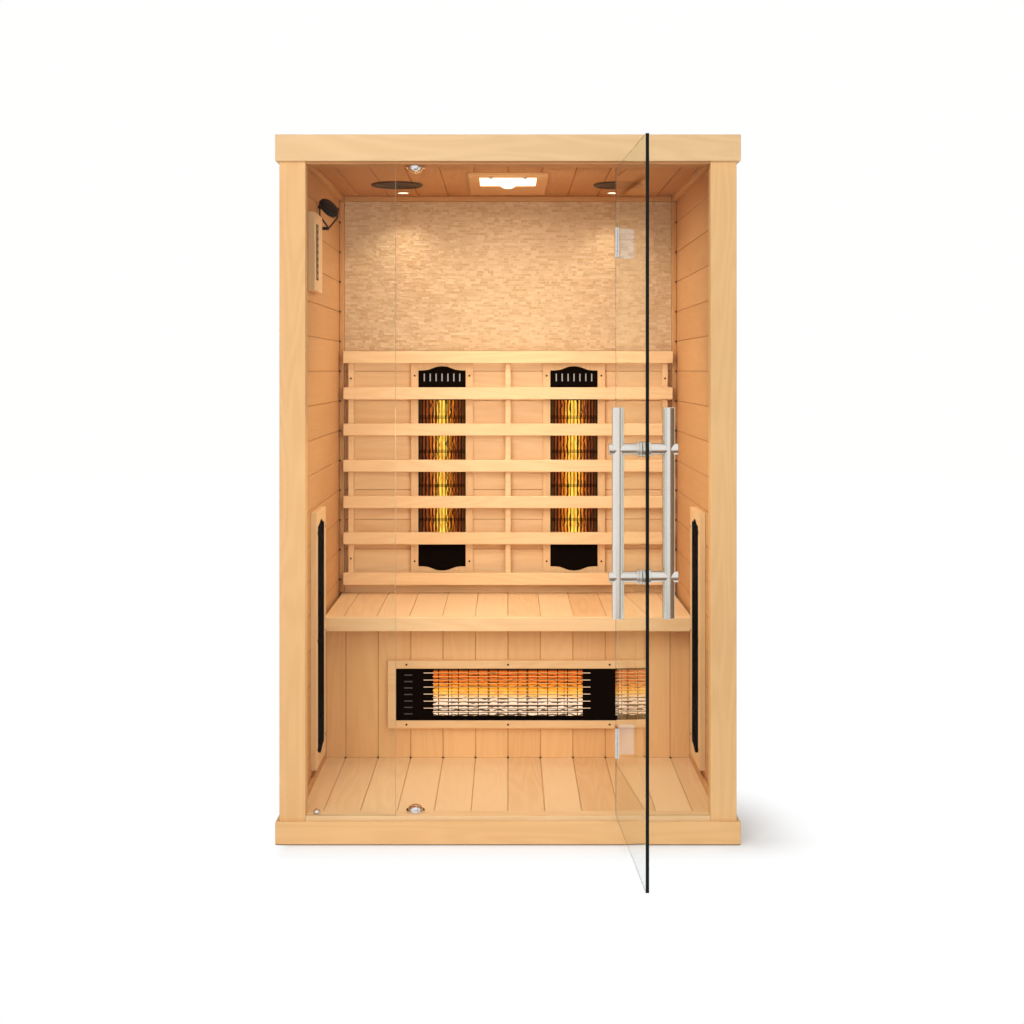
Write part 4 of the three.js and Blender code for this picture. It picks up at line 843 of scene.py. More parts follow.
class SAUNA_OT_trim(bpy.types.Operator):
    """Fit the corner mouldings, skirting, apron strips and their screws"""

    bl_idname = "sauna.trim"
    bl_label = "Mouldings and skirting"

    def execute(self, context):
        leg = sizes().moulding
        gap = CLEARANCE
        wall_front = WALL_LOW.y
        upright, level, deep = bmesh.new(), bmesh.new(), bmesh.new()
        for _, side in SIDES:
            face = side * (INNER_X - gap)
            inner = side * (INNER_X - leg)
            xs = sorted((face, inner))
            low = (xs[0], INNER_BACK - leg, SEAT_TOP + gap)
            add_box(upright, low, (xs[1], INNER_BACK - gap, CEILING - leg))
            add_box(deep, (xs[0], wall_front + gap, CEILING - leg), (xs[1], INNER_BACK - leg - gap, CEILING))
            strip = sorted((face, side * (INNER_X - 0.55 * leg)))
            foot = (strip[0], wall_front + 2 * leg, FLOOR_TOP + gap)
            add_box(deep, foot, (strip[1], APRON_FRONT - leg, FLOOR_TOP + sizes().skirting))
            low = (strip[0], APRON_FRONT - 0.8 * leg, FLOOR_TOP + gap)
            add_box(upright, low, (strip[1], APRON_FRONT - gap, span("bench_apron")[1].z))
        low = (-INNER_X + leg, INNER_BACK - leg, CEILING - leg)
        add_box(level, low, (INNER_X - leg, INNER_BACK - gap, CEILING))
        for shape, name, along in ((upright, "upright", "Z"), (level, "level", "X"), (deep, "deep", "Y_up")):
            round_edges(shape, 2.5 * MM)
            piece = piece_from(shape, f"corner_mouldings_{name}")
            finish_piece(piece, "cabin", "warm_wood", softwood("warm", along, contrast=0.35))
        self.screws()
        self.groove_ends()
        return {"FINISHED"}

    def groove_ends(self):
        """Dark ends of the grooves between planks, beside the corner mouldings and the apron."""
        half_wide, thick = 3 * MM, 6 * MM
        shape = bmesh.new()
        leg, pitch = sizes().moulding, sizes().plank_pitch
        back = INNER_BACK - leg - 0.5 * MM
        for _, side in SIDES:
            xs = sorted((side * (INNER_X - 0.2 * MM), side * (INNER_X - thick)))
            height = PLANK_DATUM
            while height < CEILING - 2 * leg:
                if height > SEAT_TOP + leg:
                    low = (xs[0], back - 2 * MM, height - half_wide)
                    add_box(shape, low, (xs[1], back, height + half_wide))
                height += pitch
        front = APRON_FRONT - 0.5 * MM
        count = int((INNER_X - leg) / pitch)
        for i in range(-count, count + 1):
            low = (i * pitch - half_wide, front - 6.5 * MM, FLOOR_TOP + 0.2 * MM)
            add_box(shape, low, (i * pitch + half_wide, front, FLOOR_TOP + 3 * MM))
        finish_piece(piece_from(shape, "groove_ends"), "cabin", "warm_wood", dark_screw())

    def screws(self):
        """Screws in the apron's end strips."""
        lowest, apart, count = 160 * MM, 100 * MM, 4
        shape = bmesh.new()
        leg = sizes().moulding
        for _, side in SIDES:
            for i in range(count):
                place = (side * (INNER_X - 0.3 * leg), APRON_FRONT - 0.8 * leg, lowest + i * apart)
                add_screw(shape, place, sizes().screw_radius, (0, -1, 0))
        finish_piece(piece_from(shape, "apron_strip_screws", 40), "cabin", "chrome", dark_screw())


class SAUNA_OT_glass(bpy.types.Operator):
    """Glaze the fixed panes and the door, each with its own look of ground edge"""

    bl_idname = "sauna.glass"
    bl_label = "Glass"

    def execute(self, context):
        clear = clear_glass("clear_pane", 1.14, colours().glass_tint)
        swinging = clear_glass("clear_door", 1.36, colours().door_tint)
        self.pane("left_fixed_glass", "cabin", (clear, pale_glass_edge()))
        self.pane("right_fixed_glass", "cabin", (clear, bright_glass_edge()))
        self.pane("door_glass", "door", (swinging, dark_glass_edge()))
        self.clip()
        return {"FINISHED"}

    def pane(self, node, body, materials):
        """A pane with its faces in the first material and its edges in the second."""
        shape = node_shape(node, windowed=True)
        round_edges(shape, sizes().glass_round, 1)
        largest = max(shape.faces, key=lambda face: face.calc_area())
        for face in shape.faces:
            face.material_index = 0 if abs(face.normal.dot(largest.normal)) > 0.99 else 1
        finish_piece(piece_from(shape, f"pane_{node}"), body, "glass", materials, node)

    def clip(self):
        """Chrome clip that holds the foot of the left fixed pane."""
        x, behind, radius, rim, tall = -515 * MM, 12 * MM, 10 * MM, 5 * MM, 13 * MM
        shape = bmesh.new()
        pane_back = span("left_fixed_glass")[1].y
        place = Matrix.Translation((x, pane_back + behind, FLOOR_TOP + 0.2 * MM))
        add_turned(shape, [(0, 0), (radius, 0), (radius, rim), *arc(radius, rim, tall)], place)
        finish_piece(piece_from(shape, "pane_clip", 40), "cabin", "chrome", chrome())


class SAUNA_OT_hinges(bpy.types.Operator):
    """Dress the glass hinges"""

    bl_idname = "sauna.hinges"
    bl_label = "Hinges"

    def execute(self, context):
        for level in HINGE_LEVELS:
            for leaf, body in HINGE_LEAVES:
                node = f"{level}_hinge_{leaf}_leaf"
                dressed(node, body, "chrome", chrome(), width=0.6 * MM, smooth_angle=20)
        return {"FINISHED"}


class SAUNA_OT_handles(bpy.types.Operator):
    """Turn the pull bars, stand-offs and clamp rings of both handles"""

    bl_idname = "sauna.handles"
    bl_label = "Handles"

    # Places on the closed door, from the hinge axis
    bar_x = -528 * MM
    glass_middle = 10 * MM
    # Distances from the middle of the glass
    half_glass = 4 * MM
    bar_reach = 59 * MM
    standoff_reach = 80.5 * MM
    # Distance between the two stand-offs of a bar, and radii
    standoff_spacing = 296 * MM
    bar_radius = 14.2 * MM
    standoff_radius = 13.6 * MM
    ring_radius = 18.5 * MM
    # Where each clamp ring starts and ends, from the glass
    rings = ((0.0, 6 * MM), (7 * MM, 12 * MM))

    def execute(self, context):
        joint = joint_named("door_swing")
        hinge = Vector(joint["pos_m"])
        swing = math.radians(-joint["range_deg"][0])
        place = Matrix.Translation((hinge.x, hinge.y, 0)) @ Matrix.Rotation(swing, 4, "Z")
        for node, side in (("outer_handle", -1), ("inner_handle", 1)):
            self.bar(node, side, place)
        return {"FINISHED"}

    def bar(self, node, side, place):
        """One handle, drawn on the closed door about the hinge axis and turned open."""
        low, high = span(node)
        shape = bmesh.new()
        bar_y = self.glass_middle + side * self.bar_reach
        self.add_capped(shape, place, (self.bar_x, bar_y), (low.z, high.z), self.bar_radius)
        seat = self.glass_middle + side * (self.half_glass + CLEARANCE)
        end = self.glass_middle + side * self.standoff_reach
        for up in (-1, 1):
            height = (low.z + high.z + up * self.standoff_spacing) / 2
            self.add_turn(shape, place, height, side, (seat, end), self.standoff_radius)
            for near, far in self.rings:
                ends = seat + side * near, seat + side * far
                self.add_turn(shape, place, height, side, ends, self.ring_radius)
        finish_piece(piece_from(shape, f"pull_{node}", 35), "door", "brushed_steel", brushed_steel(), node)

    def add_capped(self, shape, place, xy, heights, radius):
        """An upright bar with eased ends."""
        ease = sizes().metal_round
        low, high = heights
        profile = [
            (0, low), (radius - ease, low), (radius, low + ease), (radius, high - ease),
            (radius - ease, high), (0, high)]
        add_turned(shape, profile, place @ Matrix.Translation((*xy, 0)))

    def add_turn(self, shape, place, height, side, ends, radius):
        """A level turned part from the glass outwards."""
        ease = 0.7 * sizes().metal_round
        length = abs(ends[1] - ends[0])
        profile = [
            (0, 0), (radius - ease, 0), (radius, ease), (radius, length - ease),
            (radius - ease, length), (0, length)]
        turn = Matrix.Rotation(-side * math.pi / 2, 4, "X")
        add_turned(shape, profile, place @ Matrix.Translation((self.bar_x, ends[0], height)) @ turn)


class SAUNA_OT_door_stops(bpy.types.Operator):
    """Turn the domed door stops"""

    bl_idname = "sauna.door_stops"
    bl_label = "Door stops"

    def execute(self, context):
        for node, up in (("lower_door_stop", 1), ("upper_door_stop", -1)):
            low, high = span(node)
            middle = (low + high) / 2
            radius = (high.x - low.x) / 2
            tall = high.z - low.z
            base = low.z if up > 0 else high.z
            turn = Matrix.Rotation(0 if up > 0 else math.pi, 4, "X")
            place = Matrix.Translation((middle.x, middle.y, base)) @ turn
            rim = 0.3 * tall
            profile = [
                (0, 0), (radius, 0), (radius, rim - MM), (radius - MM, rim),
                (0.8 * radius, rim), *arc(0.8 * radius, rim, tall)]
            shape = bmesh.new()
            add_turned(shape, profile, place)
            finish_piece(piece_from(shape, f"turned_{node}", 40), "cabin", "chrome", chrome(), node)
        return {"FINISHED"}


class SAUNA_OT_bench(bpy.types.Operator):
    """Dress the bench seat, its rail and its apron"""

    bl_idname = "sauna.bench"
    bl_label = "Bench"

    def execute(self, context):
        pitch = sizes().plank_pitch
        planks = softwood("honey", "Y", pitch, 0.0, 0.8)
        dressed("bench_seat", "cabin", "pale_wood", planks, width=0.8 * MM)
        dressed("bench_front_rail", "cabin", "pale_wood", softwood("honey", "X"), width=2.5 * MM, segments=3)
        planks = softwood("toasted", "Z", pitch, 0.0, 0.45)
        dressed("bench_apron", "cabin", "pale_wood", planks, width=0.8 * MM)
        return {"FINISHED"}


class SAUNA_OT_backrest(bpy.types.Operator):
    """Dress the battens and slats of the backrest"""

    bl_idname = "sauna.backrest"
    bl_label = "Backrest"

    def execute(self, context):
        board = softwood("honey", "X")
        dressed("backrest_frame", "cabin", "pale_wood", board, width=2.0 * MM)
        for number in range(2, 7):
            dressed(f"backrest_slat_{number}", "cabin", "pale_wood", board, width=2.5 * MM, segments=3)
        self.screws()
        return {"FINISHED"}

    def screws(self):
        """Screws near both ends of the outer battens."""
        x, heights = 526 * MM, (1243 * MM, 640 * MM)
        shape = bmesh.new()
        batten_front = span("backrest_slat_2")[1].y + CLEARANCE
        for _, side in SIDES:
            for height in heights:
                add_screw(shape, (side * x, batten_front, height), sizes().screw_radius, (0, -1, 0))
        finish_piece(piece_from(shape, "batten_screws", 40), "cabin", "chrome", dark_screw())


class SAUNA_OT_stone(bpy.types.Operator):
    """Lay the split stone mosaic above the backrest, chip by chip"""

    bl_idname = "sauna.stone"
    bl_label = "Stone mosaic"

    def execute(self, context):
        chance = random.Random(7)
        low, high = span("stone_panel")
        shape = bmesh.new()
        bed = low.y + 4 * MM
        add_box(shape, (low.x, bed, low.z), high)
        rows = round((high.z - low.z) / sizes().chip_height)
        tall = (high.z - low.z) / rows
        for row in range(rows):
            self.lay_row(shape, chance, low, high, bed, low.z + row * tall, tall)
        finish_piece(piece_from(shape, "stone_mosaic"), "cabin", "stone", stone_chips(), "stone_panel")
        return {"FINISHED"}

    def lay_row(self, shape, chance, low, high, bed, foot, tall):
        """One row of chips, each split to its own length, height and face."""
        joint = 0.5 * MM
        x = low.x
        while x < high.x - MM:
            length = min(sizes().chip_width * chance.uniform(0.45, 1.7), high.x - x)
            face = low.y + chance.uniform(-0.6, 2.8) * MM
            top = foot + tall * chance.uniform(0.78, 0.99)
            near = (x + joint, face, foot + joint)
            corners = add_box(shape, near, (x + length - joint, bed + 0.5 * MM, top))
            for corner in corners:
                if corner.co.y < bed:
                    corner.co.y += chance.uniform(-0.7, 0.7) * MM
                    corner.co.z += chance.uniform(-0.5, 0.3) * MM
            x += length


class SAUNA_OT_heaters(bpy.types.Operator):
    """Fit the five heaters: frame, case, quartz tube, lit reflector and guard"""

    bl_idname = "sauna.heaters"
    bl_label = "Heaters"

    # Half of the opening in a frame, and the black plate at each end of it
    half_length = 344 * MM
    plate = 115 * MM
    # Half of the guard between the plates
    half_guard = half_length - plate
    half_guard_width = 77.2 * MM
    # Face of the plates, in front of the wall
    face = 16.3 * MM

    def execute(self, context):
        for name in HEATERS:
            place = self.place(name)
            along = "X" if name == "bench" else "Z"
            dressed(f"{name}_heater_frame", "cabin", "pale_wood", softwood("pale", along), width=2.0 * MM)
            dressed(f"{name}_heater_case", "cabin", "black_metal", black_metal(), width=0.3 * MM, segments=1)
            self.tube(name, place)
            self.reflector(name, place)
            self.screws(name, place)
            self.slot_backing(name, place)
            if name == "bench":
                self.bench_guard(place)
            else:
                self.wall_guard(name, place)
        return {"FINISHED"}

    def place(self, name):
        """Where a unit sits: X is its width, Y its length and Z points into the room."""
        low, high = span(f"{name}_heater_frame")
        middle = (low + high) / 2
        facing = Matrix.Rotation(math.pi / 2, 4, "X")
        if name == "bench":
            middle.y = APRON_FRONT
            return Matrix.Translation(middle) @ facing @ Matrix.Rotation(math.pi / 2, 4, "Z")
        if name in ("left_side", "right_side"):
            side = -1 if name == "left_side" else 1
            middle.x = side * INNER_X
            return Matrix.Translation(middle) @ Matrix.Rotation(-side * math.pi / 2, 4, "Z") @ facing
        middle.y = INNER_BACK
        return Matrix.Translation(middle) @ facing

    def fit(self, shape, title, place, slot, material, *nodes, smooth_angle=None):
        """A piece drawn in the unit's own frame and set in its place."""
        piece = piece_from(shape, title, smooth_angle)
        piece.matrix_world = place
        return finish_piece(piece, "cabin", slot, material, *nodes)

    def tube(self, name, place):
        """Quartz tube with a ceramic cap at each end."""
        low, high = span("back_left_heater_element")
        end = (high.z - low.z) / 2
        cap = end - 30 * MM
        outer = (high.y - low.y) / 2
        inner = outer - 3 * MM
        eased = outer - MM
        shape = bmesh.new()
        profile = [
            (0, -end), (eased, -end), (outer, -end + MM), (outer, -cap), (inner, -cap), (inner, cap),
            (outer, cap), (outer, end - MM), (eased, end), (0, end)]
        behind = INNER_BACK - (low.y + high.y) / 2
        lie = Matrix.Translation((0, 0, behind)) @ Matrix.Rotation(-math.pi / 2, 4, "X")
        add_turned(shape, profile, lie, 28)
        heat = bench_tube() if name == "bench" else wall_tube()
        self.fit(
            shape, f"{name}_quartz_tube", place, "glowing_quartz", heat, f"{name}_heater_element",
            smooth_angle=40)

    def reflector(self, name, place):
        """Curved sheet behind the tube, lit by it."""
        half_width, deep, rise, curve, sheet = 76.5 * MM, 28.2 * MM, 37 * MM, 2.4, 0.6 * MM
        reach = self.half_guard + 10 * MM
        steps = 32
        shape = bmesh.new()
        for depth in (deep, deep + sheet):
            rows = []
            for end in (-reach, reach):
                row = []
                for i in range(steps + 1):
                    x = -1 + 2 * i / steps
                    z = rise * abs(x) ** curve - depth
                    row.append(shape.verts.new((x * half_width, end, z)))
                rows.append(row)
            for i in range(steps):
                shape.faces.new((rows[0][i], rows[0][i + 1], rows[1][i + 1], rows[1][i]))
        shape.verts.ensure_lookup_table()
        self.close_sheet(shape, steps)
        lit = bench_glow() if name == "bench" else wall_glow()
        self.fit(shape, f"{name}_reflector", place, "glowing_quartz", lit, smooth_angle=40)

    def close_sheet(self, shape, steps):
        """Faces round the rim of a sheet made of a front and a back layer."""
        count = 2 * (steps + 1)
        rim = [*range(steps + 1), *range(count - 1, steps, -1)]
        for first, second in zip(rim, rim[1:] + rim[:1]):
            corners = (first, second, second + count, first + count)
            shape.faces.new([shape.verts[i] for i in corners])

    def screws(self, name, place):
        """Six screws in the side bars of a frame."""
        bar_middle, spacing = 92 * MM, 312 * MM
        shape = bmesh.new()
        face = INNER_BACK - span("back_left_heater_frame")[0].y
        for _, side in SIDES:
            for i in (-1, 0, 1):
                add_screw(shape, (side * bar_middle, i * spacing, face), sizes().screw_radius, (0, 0, 1))
        self.fit(shape, f"{name}_frame_screws", place, "chrome", dark_screw(), smooth_angle=40)

    def slot_backing(self, name, place):
        """Sheet seen through the slots of the end plate."""
        half_width, half_tall, thick, inset = 74 * MM, 18 * MM, 1.2 * MM, 38 * MM
        shape = bmesh.new()
        middle = self.half_length - inset
        sheet = self.face - 2.4 * MM
        low = (-half_width, middle - half_tall, sheet - thick)
        add_box(shape, low, (half_width, middle + half_tall, sheet))
        shade = slot_sheet(0.0) if name == "bench" else slot_sheet(0.25)
        self.fit(shape, f"{name}_slot_backing", place, "aluminium", shade)

    def wall_guard(self, name, place):
        """Dark round wires along an upright unit and the rungs behind them."""
        wires, rungs, rung_pitch, half_pair = 13, 4, 115 * MM, 4 * MM
        pitch = 2 * self.half_guard_width / (wires + 1)
        radius = sizes().guard_wire / 2
        front = self.face - MM
        behind = self.face - 3.2 * MM
        end = 77 * MM
        shape = bmesh.new()
        for i in range(1, wires + 1):
            x = i * pitch - self.half_guard_width
            add_rod(shape, (x, -self.half_guard, front), (x, self.half_guard, front), radius, 8)
        for i in range(rungs):
            for step in (-half_pair, half_pair):
                y = (i - (rungs - 1) / 2) * rung_pitch + step
                add_rod(shape, (-end, y, behind), (end, y, behind), 0.6 * radius, 8)
        self.fit(shape, f"{name}_guard_wires", place, "black_metal", black_metal(), smooth_angle=40)

    def bench_guard(self, place):
        """Bright rods in front of the bench unit, and the dark rungs behind them, with a black foot strip as
        painted shade.
        """
        rod_count, rod_pitch, rod_radius, top_rod = 12, 10.8 * MM, 1.0 * MM, 66.5 * MM
        long_end, short_end, left_end = 30 * MM, 2 * MM, 6 * MM
        rung_count, rung_pitch, rung_end = 15, 30.5 * MM, 77 * MM
        front = self.face + 1.2 * MM
        behind = self.face - 5 * MM
        rods, rungs = bmesh.new(), bmesh.new()
        for i in range(rod_count):
            x = top_rod - i * rod_pitch
            reach = self.half_guard + (long_end if i % 2 == 0 else short_end)
            add_rod(rods, (x, left_end - reach, front), (x, reach, front), rod_radius, 10)
        for i in range(rung_count):
            y = (i - (rung_count - 1) / 2) * rung_pitch
            add_rod(rungs, (-rung_end, y, behind), (rung_end, y, behind), sizes().guard_wire / 2, 8)
        # Painted shade: the black foot strip stands in for the shade along the bottom of the unit's window.
        foot = (-self.half_guard_width, -self.half_guard, self.face - 7.2 * MM)
        add_box(rungs, foot, (-top_rod, self.half_guard, self.face - 6 * MM))
        self.fit(rods, "bench_guard_rods", place, "brushed_steel", bright_wire(), smooth_angle=40)
        self.fit(rungs, "bench_guard_rungs", place, "black_metal", black_metal(), smooth_angle=40)


class SAUNA_OT_ceiling_fittings(bpy.types.Operator):
    """Dress the ceiling light, its fixings, the speakers and the downlights"""

    bl_idname = "sauna.ceiling_fittings"
    bl_label = "Ceiling fittings"

    def execute(self, context):
        board = softwood("warm", "X", contrast=0.35)
        dressed("ceiling_light_frame", "cabin", "warm_wood", board, width=2.0 * MM)
        self.lens()
        self.fixings()
        for name, _ in SIDES:
            self.speaker(f"{name}_speaker")
            self.downlight(f"{name}_downlight")
        return {"FINISHED"}

    def lens(self):
        """Flat diffuser with a dome in its middle."""
        plate, radius = 9 * MM, 27 * MM
        low, high = span("ceiling_light_lens")
        plate_low = high.z - plate
        shape = bmesh.new()
        add_box(shape, (low.x, low.y, plate_low), high)
        round_edges(shape, 2 * MM)
        middle = (low + high) / 2
        place = Matrix.Translation((middle.x, middle.y, plate_low + MM)) @ Matrix.Rotation(math.pi, 4, "X")
        tall = plate_low + MM - low.z
        add_turned(shape, [(0, 0), (radius, 0), (radius, 0.2 * tall), *arc(radius, 0.2 * tall, tall)], place)
        lit = glowing("lit_ceiling_lens", colours().lamp, 2.2)
        finish_piece(piece_from(shape, "ceiling_lens", 40), "cabin", "lamp_lens", lit, "ceiling_light_lens")

    def fixings(self):
        """Two small bright fixings at the front of the light's frame."""
        x, inset, radius = 51 * MM, 22 * MM, 6 * MM
        low, _ = span("ceiling_light_frame")
        hang = Matrix.Rotation(math.pi, 4, "X")
        shape = bmesh.new()
        for _, side in SIDES:
            place = Matrix.Translation((side * x, low.y + inset, low.z)) @ hang
            add_turned(shape, [(0, -MM), (radius, -MM), *arc(radius, 2 * MM, 6 * MM, 5)], place, 20)
        finish_piece(piece_from(shape, "light_frame_fixings", 40), "cabin", "chrome", chrome())

    def speaker(self, node):
        """Round grille with fine rings."""
        neck, border, rings = 64 * MM, 9 * MM, 12
        low, high = span(node)
        middle = (low + high) / 2
        radius = (high.x - low.x) / 2
        place = Matrix.Translation((middle.x, middle.y, CEILING)) @ Matrix.Rotation(math.pi, 4, "X")
        deep = CEILING - low.z
        back = CEILING - high.z
        profile = [(0, back), (neck, back), (neck, CLEARANCE), (radius, CLEARANCE)]
        profile += [(radius, deep - 3 * MM), (radius - 3 * MM, deep), (radius - 8 * MM, deep)]
        valley, ridge = deep - 2.2 * MM, deep - 0.8 * MM
        step = (radius - border) / rings
        for ring in range(rings):
            outer = (rings - ring) * step
            profile += [(outer, valley), (outer - 0.45 * step, valley)]
            profile += [(outer - 0.5 * step, ridge), (outer - 0.93 * step, ridge)]
        profile.append((0, ridge))
        shape = bmesh.new()
        add_turned(shape, profile, place, 48)
        finish_piece(piece_from(shape, f"turned_{node}", 40), "cabin", "black_plastic", speaker_mesh(), node)

    def downlight(self, node):
        """Chrome ring with a lit lens set in it."""
        neck = 16 * MM
        low, high = span(node)
        middle = (low + high) / 2
        radius = (high.x - low.x) / 2
        place = Matrix.Translation((middle.x, middle.y, CEILING)) @ Matrix.Rotation(math.pi, 4, "X")
        deep = CEILING - low.z
        back = CEILING - high.z
        shape = bmesh.new()
        profile = [
            (0, back), (neck, back), (neck, CLEARANCE), (radius, CLEARANCE),
            (radius, deep - 1.5 * MM), (radius - 1.5 * MM, deep), (radius - 4 * MM, deep),
            (radius - 5 * MM, deep - 2 * MM), (0, deep - 2 * MM)]
        add_turned(shape, profile, place)
        finish_piece(piece_from(shape, f"turned_{node}", 40), "cabin", "lamp_lens", chrome(), node)
        glass = bmesh.new()
        lens = radius - 5.2 * MM
        seat = deep - 1.9 * MM
        add_turned(glass, [(0, seat), (lens, seat), *arc(lens, deep - 1.2 * MM, deep, 5)], place)
        lit = glowing("lit_downlight", colours().lamp, 2.6)
        finish_piece(piece_from(glass, f"lit_{node}", 40), "cabin", "lamp_lens", lit)


class SAUNA_OT_control_panel(bpy.types.Operator):
    """Dress the control board and fit its keypad"""

    bl_idname = "sauna.control_panel"
    bl_label = "Control panel"

    def execute(self, context):
        dressed("control_panel", "cabin", "pale_wood", softwood("honey", "Z"), width=2.0 * MM)
        inset, wide, half_tall, recess, proud = 37.5 * MM, 41 * MM, 79.5 * MM, 1.9 * MM, 1.2 * MM
        low, high = span("control_panel")
        front = low.y + inset
        bottom = (low.z + high.z) / 2 - half_tall
        surface = high.x + proud
        shape = bmesh.new()
        near = (high.x - recess, front, bottom)
        add_box(shape, near, (surface, front + wide, bottom + 2 * half_tall))
        round_edges(shape, 0.8 * MM)
        finish_piece(piece_from(shape, "keypad"), "cabin", "black_plastic", black_plastic())
        count, radius = 8, 6 * MM
        keys = bmesh.new()
        turn = Matrix.Rotation(math.pi / 2, 4, "Y")
        for i in range(count):
            height = bottom + 2 * half_tall * (i + 0.6) / (count + 0.2)
            place = Matrix.Translation((surface, front + wide / 2, height)) @ turn
            add_turned(keys, [(0, 0), (radius, 0), *arc(radius, 0.6 * MM, 1.6 * MM, 4)], place, 24)
        finish_piece(piece_from(keys, "keypad_keys", 40), "cabin", "brushed_steel", pale_key())
        return {"FINISHED"}


class SAUNA_OT_reading_lamp(bpy.types.Operator):
    """Dress the reading lamp's yoke and turn its tilting head"""

    bl_idname = "sauna.reading_lamp"
    bl_label = "Reading lamp"

    def execute(self, context):
        dressed(
            "reading_lamp_bracket", "cabin", "black_plastic", black_plastic(), width=0.4 * MM,
            smooth_angle=45)
        yaw_degrees, tilt_degrees = -34, 36
        radius, half_bezel, dome, ease = 34 * MM, 3 * MM, 12 * MM, 0.6 * MM
        pin_reach, pin_radius = 42 * MM, 2.2 * MM
        yaw = Matrix.Rotation(math.radians(yaw_degrees), 4, "Z")
        tilt = Matrix.Rotation(math.radians(90 - tilt_degrees), 4, "Y")
        place = Matrix.Translation(joint_named("reading_lamp_tilt")["pos_m"]) @ yaw @ tilt
        shape = bmesh.new()
        lip = radius - 3 * MM
        profile = [
            (0, -0.5 * MM), (lip - 2 * MM, -0.5 * MM), (lip, -half_bezel), (radius - ease, -half_bezel),
            (radius, ease - half_bezel), *arc(radius, half_bezel, half_bezel + dome)]
        add_turned(shape, profile, place)
        ends = (place @ Vector((0, y, 0)) for y in (-pin_reach, pin_reach))
        add_rod(shape, *ends, pin_radius, 16)
        finish_piece(
            piece_from(shape, "lamp_head_shell", 40), "lamp_head", "black_plastic", black_plastic(),
            "reading_lamp_head")
        return {"FINISHED"}


class SAUNA_OT_power(bpy.types.Operator):
    """Dress the power unit behind the apron and the inlet in the back wall"""

    bl_idname = "sauna.power"
    bl_label = "Power unit"

    def execute(self, context):
        dressed("power_unit", "cabin", "aluminium", sheet_aluminium(), width=2.0 * MM)
        dressed("power_inlet", "cabin", "black_plastic", black_plastic(), width=0.6 * MM, smooth_angle=35)
        return {"FINISHED"}


